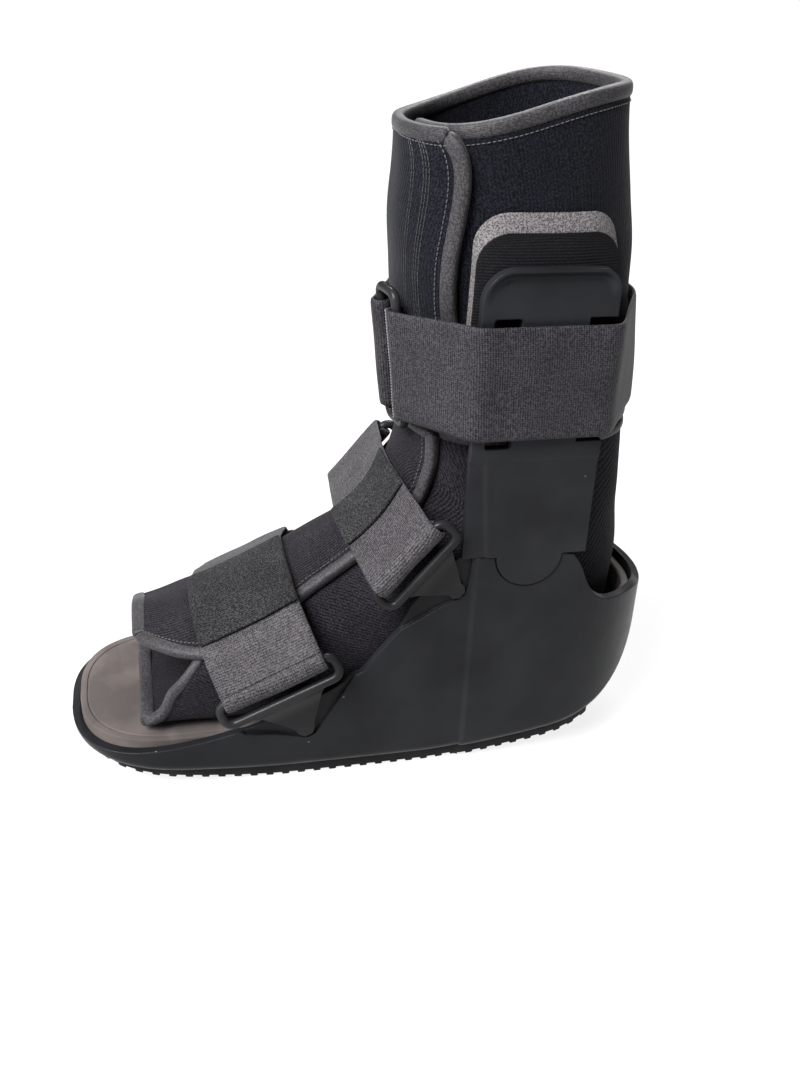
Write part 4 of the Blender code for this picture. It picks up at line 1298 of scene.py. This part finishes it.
def make_shell():
    outer = tub("shell_outer", 0.0, shell_under, 1.2 * shell_top, under_round)
    low_of = lambda x: shell_under(x) + recess_depth / 2
    core = tub("shell_core", recess_depth, low_of, 1.4 * shell_top, under_round - recess_depth)
    hollow = tub("shell_hollow", shell_wall, floor_at, 1.4 * shell_top, floor_round)
    above = side_plate("above_shell", [fine_top_outline()], 0.0, 4 * shell_half_width, group=cutters)
    boolean(outer, above)
    for name, shares in (("forefoot_pocket", FOREFOOT_POCKET), ("ankle_pocket", ANKLE_POCKET)):
        outline = [(along(share), height * shell_top) for share, height in shares]
        cutter = side_plate(name, [outline], 0.0, 4 * shell_half_width, group=cutters)
        boolean(cutter, core)
        boolean(outer, cutter)
    boolean(outer, hollow)
    made = add_mesh("moulded_shell", [], [])
    made.data = outer.data.copy()
    soft_shading(made, 28)
    dress_flat(made, SHELL, "shell_plastic", "shell")


def soft_shading(item, limit):
    """Smooth shading, kept sharp where faces meet at more than this many degrees."""
    work = bmesh.new()
    work.from_mesh(item.data)
    bmesh.ops.remove_doubles(work, verts=work.verts, dist=1e-6)
    for face in work.faces:
        face.smooth = True
    for edge in work.edges:
        edge.smooth = edge.is_manifold and edge.calc_face_angle(0.0) < math.radians(limit)
    work.to_mesh(item.data)
    work.free()


def dress_flat(item, material, slot, *nodes):
    """dress() for a piece whose shading is already set."""
    kept = [edge.use_edge_sharp for edge in item.data.edges]
    dress(item, material, slot, *nodes)
    for edge, sharp in zip(item.data.edges, kept):
        edge.use_edge_sharp = sharp
    return item


def make_sole():
    front = along(0.014)
    back = along(0.895)
    rib = rib_pitch * rib_share
    first = -int((-rib / 2 - front) / rib_pitch)
    last = int((back - rib) / rib_pitch)
    under = []
    for number in range(first, last + 1):
        start = number * rib_pitch - rib / 2
        for x, lift in (
            (start, rib_depth), (start, rib_bevel), (start + rib_bevel, 0), (start + rib - rib_bevel, 0),
            (start + rib, rib_bevel), (start + rib, rib_depth),
        ):
            under.append((x, tread_height(x) + lift))
    over = [x for x in stations(0.0) if under[0][0] < x < under[-1][0]]
    top = [under[-1][0]] + over[::-1] + [under[0][0]]
    outline = under + [(x, tread_height(x) + sole_depth(x)) for x in top]
    sole = side_plate("ribbed_sole", [outline], 0.0, 4 * shell_half_width)
    plan = floor_plate("sole_plan", plan_outline(sole_inset), -shell_top, shell_top, group=cutters)
    boolean(sole, plan, "INTERSECT")
    soft_shading(sole, 25)
    dress_flat(sole, TREAD, "tread_rubber", "outsole")


def make_footbed():
    inset = shell_wall + clearance
    rings = []
    for x in stations(inset):
        low = floor_at(x) + clearance
        if low < footbed_top - least_footbed:
            rings.append(tub_ring(x, half_width(x, inset), low, footbed_top, footbed_round))
    bed = loft("insole", rings)
    inset += groove_inset
    places = [x for x in stations(inset) if x < along(0.7)]
    groove = [(x, -half_width(x, inset), footbed_top) for x in places[::-1]]
    groove += [(x, half_width(x, inset), footbed_top) for x in places]
    data = bpy.data.curves.new("groove_curve", "CURVE")
    data.dimensions = "3D"
    data.bevel_depth = groove_radius
    data.use_fill_caps = True
    spline = data.splines.new("POLY")
    spline.points.add(len(groove) - 1)
    for point, place in zip(spline.points, groove):
        point.co = (*place, 1.0)
    curve = bpy.data.objects.new("groove_curve", data)
    scene.collection.objects.link(curve)
    boolean(bed, as_mesh(curve, "insole_groove", cutters))
    soft_shading(bed, 35)
    dress_flat(bed, INSOLE, "foam", "footbed")


def make_heel_pad():
    inset = shell_wall + 2 * clearance + heel_pad_thickness / 2
    places = [x for x in stations(inset) if x > along(0.80)]
    path = [(x, -half_width(x, inset)) for x in places]
    path += [(x, half_width(x, inset)) for x in places[::-1]]
    low = footbed_top + 2 * clearance
    columns = []
    for x, y in path:
        height = between(HEEL_LINE, (x - toe_x) / shell_length)[0] * shell_top - heel_pad_drop - 0.001
        columns.append([(x, y, low + (height - low) * step / 20) for step in range(21)])
    pad = cloth("heel_foam", rumpled(columns, 0.0008, 0.016, 3.0), heel_pad_thickness)
    dress(pad, HEEL_FOAM, "foam", "heel_pad")


# Struts and their pads
def strut_relief(x, z):
    """How far the strut's outer face lies below its highest level."""
    share = (x - strut_front) / strut_width
    left, right, above = x - strut_front, strut_front + strut_width - x, strut_top - z
    side = min(left, right)
    corner = strut_front_round if left < right else strut_back_round
    inside = min(side, above)
    if side < corner and above < corner:
        inside = corner - math.hypot(corner - side, corner - above)
    crease = slot_high + 0.0030 + 0.0160 * (share - 0.42) ** 2
    up = min(max((z - crease) / (strut_top - crease), 0.0), 1.0)
    scoop = 0.0030 * min(up * 1.25, 1.0) ** 0.85 * smooth_step(0.0009, 0.0042, inside)
    panel = 0.0007 * (1 - smooth_step(0.1650, 0.1672, z))
    lean = 0.115 + 0.075 * min(max((0.166 - z) / 0.048, 0.0), 1.0)
    beside = 1 - smooth_step(lean - 0.016, lean + 0.016, share)
    flange = 0.0010 * beside * (1 - smooth_step(0.163, 0.170, z))
    dish = 0.0004 * math.sin(math.pi * min(max(share, 0.0), 1.0)) * smooth_step(0.12, 0.14, z)
    return 0.0001 + scoop + panel + flange + dish * (1 - smooth_step(0.158, 0.166, z))


def make_struts():
    back = strut_front + strut_width
    tab_x = strut_front + 0.54 * strut_width
    low = shell_top + clearance
    front_corner = (strut_front + strut_front_round, strut_top - strut_front_round)
    outline = (
        [(strut_front, low)]
        + arc((tab_x, low), tab_radius, 180, 360, 40)
        + [(back, low), (back, slot_low), (back - slot_width, slot_low)]
        + [(back - slot_width, slot_high), (back, slot_high)]
        + arc((back - strut_back_round, strut_top - strut_back_round), strut_back_round, 0, 90, 14)
        + arc(front_corner, strut_front_round, 90, 180, 18)
    )
    slot_x = strut_front + slot_inset
    slot = round_box((slot_x, slot_low - slot_drop), (slot_x + slot_width, slot_high), slot_round, 5)
    holes = [
        arc((strut_front + share * strut_width, slot_low + rivet_lift), rivet_hole, 0, 345, 23)
        for share in (0.54, 0.69)
    ]
    plate = side_plate(
        "strut_plan", [outline, slot] + holes, -(strut_outer - strut_thickness / 2), 0.02, group=cutters
    )
    across, tall = 96, 200
    front = []
    behind = []
    for step in range(tall + 1):
        z = 0.098 + 0.155 * step / tall
        places = [strut_front - 0.002 + (strut_width + 0.004) * k / across for k in range(across + 1)]
        front.append([(x, -(strut_outer - strut_relief(x, z)), z) for x in places])
        behind.append([(x, -(strut_outer - strut_thickness), z) for x in places])
    near = block_between("side_strut_near", front, behind)
    boolean(near, plate, "INTERSECT")
    soft_shading(near, 30)
    far = mirrored(near, "side_strut_far")
    dress_flat(near, STRUT, "shell_plastic", "upright_near")
    dress_flat(far, STRUT, "shell_plastic", "upright_far")


def pad_grid(out, inset, side, drop=0.0):
    """The pad's outline with round corners, bent round the leg this far outside it."""
    half_wide = (pad_back - pad_front) / 2 - inset
    half_tall = (pad_high - pad_low - drop) / 2 - inset
    round_off = pad_round - inset
    centre_x = (pad_back + pad_front) / 2
    centre_z = (pad_high + pad_low - drop) / 2
    rows = []
    for step in range(41):
        t = math.sin(math.pi * (step / 40 - 0.5))
        into = max(0.0, abs(t) * half_tall - (half_tall - round_off)) / round_off
        reach = half_wide - round_off * (1 - math.sqrt(max(0.0, 1 - into**2)))
        z = centre_z + t * half_tall
        line = []
        for place in range(37):
            x = centre_x + reach * (2 * place / 36 - 1)
            line.append((x, side * cuff_side(x, z, out), z))
        rows.append(line if side < 0 else line[::-1])
    return rows


def make_pads():
    for side, word in ((-1, "near"), (1, "far")):
        front = rumpled(pad_grid(pad_seat + foam_front, 0.0006, side, foam_slope), 0.0003, 0.02, 4.0)
        behind = pad_grid(pad_seat + 0.0002, 0.0002, side)
        core = block_between(f"strut_pad_{word}", front, behind)
        soft_shading(core, 34)
        dress_flat(core, PAD_FOAM, "pad_foam", f"upright_pad_{word}")
        grid = pad_grid(pad_seat + pad_face_front, 0.0004, side, pad_face_slope)
        face = cloth(f"strut_pad_face_{word}", grid, pad_face_thickness)
        dress(face, PAD_FACE, "pad_foam")


# Liner
def make_liner():
    foot_count = 4 * (len(FOOT_TABLE) - 1)
    numbers = [step / 4 for step in range(foot_count + 1)]
    foot_ends = [between(FOOT_END_KEYS, number) for number in numbers]
    foot = liner_layer([foot_row(number) for number in numbers], foot_ends, 120)
    soft = rumpled(foot, 0.0011, 0.022, 1.0)
    skin = cloth("foot_liner", soft, liner_wall - cloth_inset)
    dress(skin, FOOT_KNIT, "liner_fabric", "liner_foot")
    heights = [cuff_low + (rim_height(0) - cuff_low) * step / 46 for step in range(47)]
    ends = [(168, between(CUFF_EDGE, height / cuff_high)[0] - 4) for height in heights]
    cuff = liner_layer([leg_row(height) for height in heights], ends, 130)
    span = heights[-1] - cuff_low
    for line in cuff:
        for place, (x, y, z) in enumerate(line):
            lift = (rim_height(x) - heights[-1]) * ((z - cuff_low) / span) ** 2
            line[place] = (x, y, z + lift)
    for number, line in enumerate(cuff):
        height = smooth_step(0.45, 1.0, number / (len(cuff) - 1))
        for place in range(12):
            curl = (1 - place / 12) ** 2 * height
            x, y, z = line[place]
            line[place] = (x + 0.0030 * curl, y + 0.0150 * curl, z - 0.001 * curl)
    cuff = rumpled(cuff, 0.0012, 0.030, 2.0)
    skin = cloth("calf_liner", cuff, liner_wall - cloth_inset)
    dress(skin, CUFF_KNIT, "liner_fabric", "liner_cuff")
    return soft, cuff


def columns_of(grid, *places):
    """These columns of a grid."""
    return [[row[place] for row in grid] for place in places]


def make_bindings(foot, cuff):
    wall = liner_wall + tape_extra
    tapes = (
        ("top_tape", (cuff[-1], cuff[-3]), 0.0052, 0.0015, "binding_cuff_top"),
        ("cuff_flap_tape", columns_of(cuff, -1, -3), 0.0052, 0.0020, "binding_cuff_flap"),
        ("foot_flap_tape", columns_of(foot, -1, -3), 0.0042, 0.0018, "binding_foot_flap"),
        ("foot_near_tape", columns_of(foot, 0, 2), 0.0040, 0.0012),
        ("foot_front_tape", (foot[0], foot[2]), 0.0060, 0.0012),
        ("ankle_top_tape", (foot[-1], foot[-3]), 0.0040, 0.0012),
        ("cuff_near_tape", columns_of(cuff, 0, 2), 0.0040, 0.0012),
        ("cuff_low_tape", (cuff[0], cuff[2]), 0.0040, 0.0012),
    )
    for name, (edge, inner), inward, outward, *nodes in tapes:
        tape(name, edge, inner, wall, inward, outward, BINDING, "binding_knit", *nodes)
    skin = liner_wall / 2 + seam_lift
    path, squares = inside_edge(turned_grid(cuff), cuff_seam_inset, 0.0)
    top_run = ([a - b * skin for a, b in zip(path, squares)], [-b for b in squares])
    flap_run = inside_edge(cuff, cuff_seam_inset, skin)
    stitches("cuff_edge_seam", [top_run, flap_run], 0.0021, 0.0016, 0.00024, THREAD, "webbing")
    ribs = [inside_edge(cuff, inset, liner_wall / 2) for inset in flap_rib_insets]
    stitches("cuff_flap_ribs", ribs, 0.0024, 0.0022, 0.00018, DARK_THREAD, "webbing")
    foot_run = inside_edge(foot, foot_seam_inset, skin)
    stitches("foot_edge_seam", [foot_run], 0.0021, 0.0015, 0.00022, THREAD, "webbing")


# Loops and straps
def make_loop(name, where, apex, length, node):
    half = length / 2
    corners = round_box((-half, 0.0), (half, loop_depth), loop_round, 8)
    corners = evenly(corners + corners[:1], 110)[:-1]
    path = []
    for share, height in corners:
        side = where.lower_side + (where.upper_side - where.lower_side) * height / loop_depth
        path.append(where.place(share, -side, height))
    frame_bar = round_bar(name, path, bar_radius, Vector((0.0, 1.0, 0.0)))
    foot = where.place(0.0, 0.0, -apex)
    low_side = half_width(foot.x) - recess_depth + 2 * clearance + tongue_thickness / 2
    wide = 0.74 * half
    profile = (
        (0.0, where.lower_side, -0.95 * wide, wide),
        (-0.12 * apex, low_side + 0.62 * (where.lower_side - low_side), -0.86 * wide, 0.91 * wide),
        (-0.30 * apex, low_side + 0.22 * (where.lower_side - low_side), -0.70 * wide, 0.74 * wide),
        (-0.55 * apex, low_side, -0.48 * wide, 0.52 * wide),
        (-0.80 * apex, low_side, -0.21 * wide, 0.26 * wide),
        (-0.90 * apex, low_side, -tongue_neck, tongue_neck),
        (-0.96 * apex, low_side, -0.0030, 0.0030),
        (-apex, low_side, -tongue_tip, tongue_tip),
    )
    slabs = []
    half_thick = tongue_thickness / 2
    for height, side, start, end in profile:
        slabs.append([
            where.place(start, -side - half_thick, height), where.place(end, -side - half_thick, height),
            where.place(end, -side + half_thick, height), where.place(start, -side + half_thick, height),
        ])
    tongue = loft(name + "_tongue", slabs, cutters)
    boolean(frame_bar, tongue, "UNION")
    soft_shading(frame_bar, 32)
    far = mirrored(frame_bar, name.replace("near", "far"))
    dress_flat(frame_bar, BUCKLE, "shell_plastic", node)
    dress_flat(far, BUCKLE, "shell_plastic", node.replace("near", "far"))


def make_straps():
    forefoot = StrapPlace(along(0.339), 0.470 * shell_top, math.radians(24), forefoot_loop_out)
    ankle = StrapPlace(along(0.557), 0.979 * shell_top, math.radians(50), ankle_loop_out)
    for place, word, apex, share in (
        (forefoot, "forefoot", forefoot_tongue, 1.0), (ankle, "ankle", ankle_tongue, ankle_share),
    ):
        make_loop(f"buckle_{word}_near", place, apex, share * loop_length, f"strap_loop_{word}_near")
        grid = place.strap_grid(12, 96, share * strap_width)
        grid = rumpled(grid, 0.0006, 0.014, 5.0)
        strap = cloth(f"{word}_webbing", grid, strap_thickness - 0.0002)
        dress(strap, WEBBING, "webbing", f"{word}_strap")
    tab = forefoot.tab_grid(12, 60, strap_width, forefoot_tab_start, -tab_stop)
    ankle_tab = ankle.tab_grid(12, 50, ankle_share * strap_width, ankle_tab_start, -tab_stop)
    for word, grid in (("forefoot", tab), ("ankle", ankle_tab)):
        item = cloth(f"{word}_hook_tab", grid, tab_thickness - 0.0001)
        dress(item, HOOK, "hook_tape", f"{word}_tab")
        runs = [line_on(grid, column, 0.5 * tab_thickness) for column in (1, 3, 5, 7)]
        stitches(f"{word}_seam", runs, 0.0019, 0.0012, 0.00030, SEAM_THREAD, "webbing")


def make_calf_strap():
    off = 4 * clearance + strap_thickness / 2
    fold = 2 * clearance + strap_thickness / 2 + bar_radius
    rows = []
    for row in range(13):
        lift = strap_width * (row / 12 - 0.5)
        height = calf_middle(strut_front + strut_width / 2) + lift
        flap_end = between(CUFF_EDGE, height / cuff_high)[0]
        section = leg_row(height)
        points = [liner_outside(section, flap_end, turn)[:2] for turn in range(0, 360, 4)]
        bead = min(beads["binding_cuff_flap"], key=lambda place: abs(place.z - height))
        for x in (strut_front, strut_front + strut_width):
            points += [(x, -strut_outer - 4 * clearance), (x, strut_outer + 4 * clearance)]
        for share in (0.0, 0.25, 0.5, 0.75, 1.0):
            x = pad_front + share * (pad_back - pad_front)
            side = cuff_side(x, height, pad_thickness + pad_seat + clearance)
            points += [(x, -side), (x, side)]
        points = spread(points, off, 15) + spread([bead[:2]], off + binding_radius + clearance, 15)
        bars = [tuple(ring_place(share, calf_height + lift))[:2] for share in (0, 1)]
        outline = hull(points + spread(bars, fold, 6))
        path = round_bars(outline, *bars, fold, 190, 14)
        folded = 16
        smooth = calm([(*point, 0.0) for point in path[folded:-folded]], 6)
        path = path[:folded] + [tuple(point)[:2] for point in smooth] + path[-folded:]
        rows.append([(x, y, calf_middle(x) + lift) for x, y in path])
    rows = rumpled(rows, 0.0006, 0.02, 7.0)
    strap = cloth("calf_webbing", rows, strap_thickness - 0.0002)
    dress(strap, CALF_WEB, "webbing", "calf_strap")
    fold_runs = [line_on(rows, column, 0.5 * strap_thickness) for column in (9, 11)]
    stitches("calf_fold_seam", fold_runs, 0.0013, 0.0022, 0.00028, SEAM_THREAD, "webbing", across=True)
    wide = (ring_place(1, 0) - ring_place(0, 0)).length
    corners = round_box((0.0, -0.57 * strap_width), (wide, 0.62 * strap_width), ring_round, 8)
    corners = evenly(corners + corners[:1], 140)[:-1]
    path = [ring_place(share / wide, calf_height + height) for share, height in corners]
    ring = round_bar("calf_buckle", path, bar_radius, Vector((0.6, 0.8, 0.0)))
    dress(ring, BUCKLE, "shell_plastic", "calf_ring")


make_shell()
make_sole()
make_footbed()
make_heel_pad()
make_struts()
make_pads()
foot_grid, cuff_grid = make_liner()
make_bindings(foot_grid, cuff_grid)
find_beads(foot_grid, cuff_grid)
make_straps()
make_calf_strap()
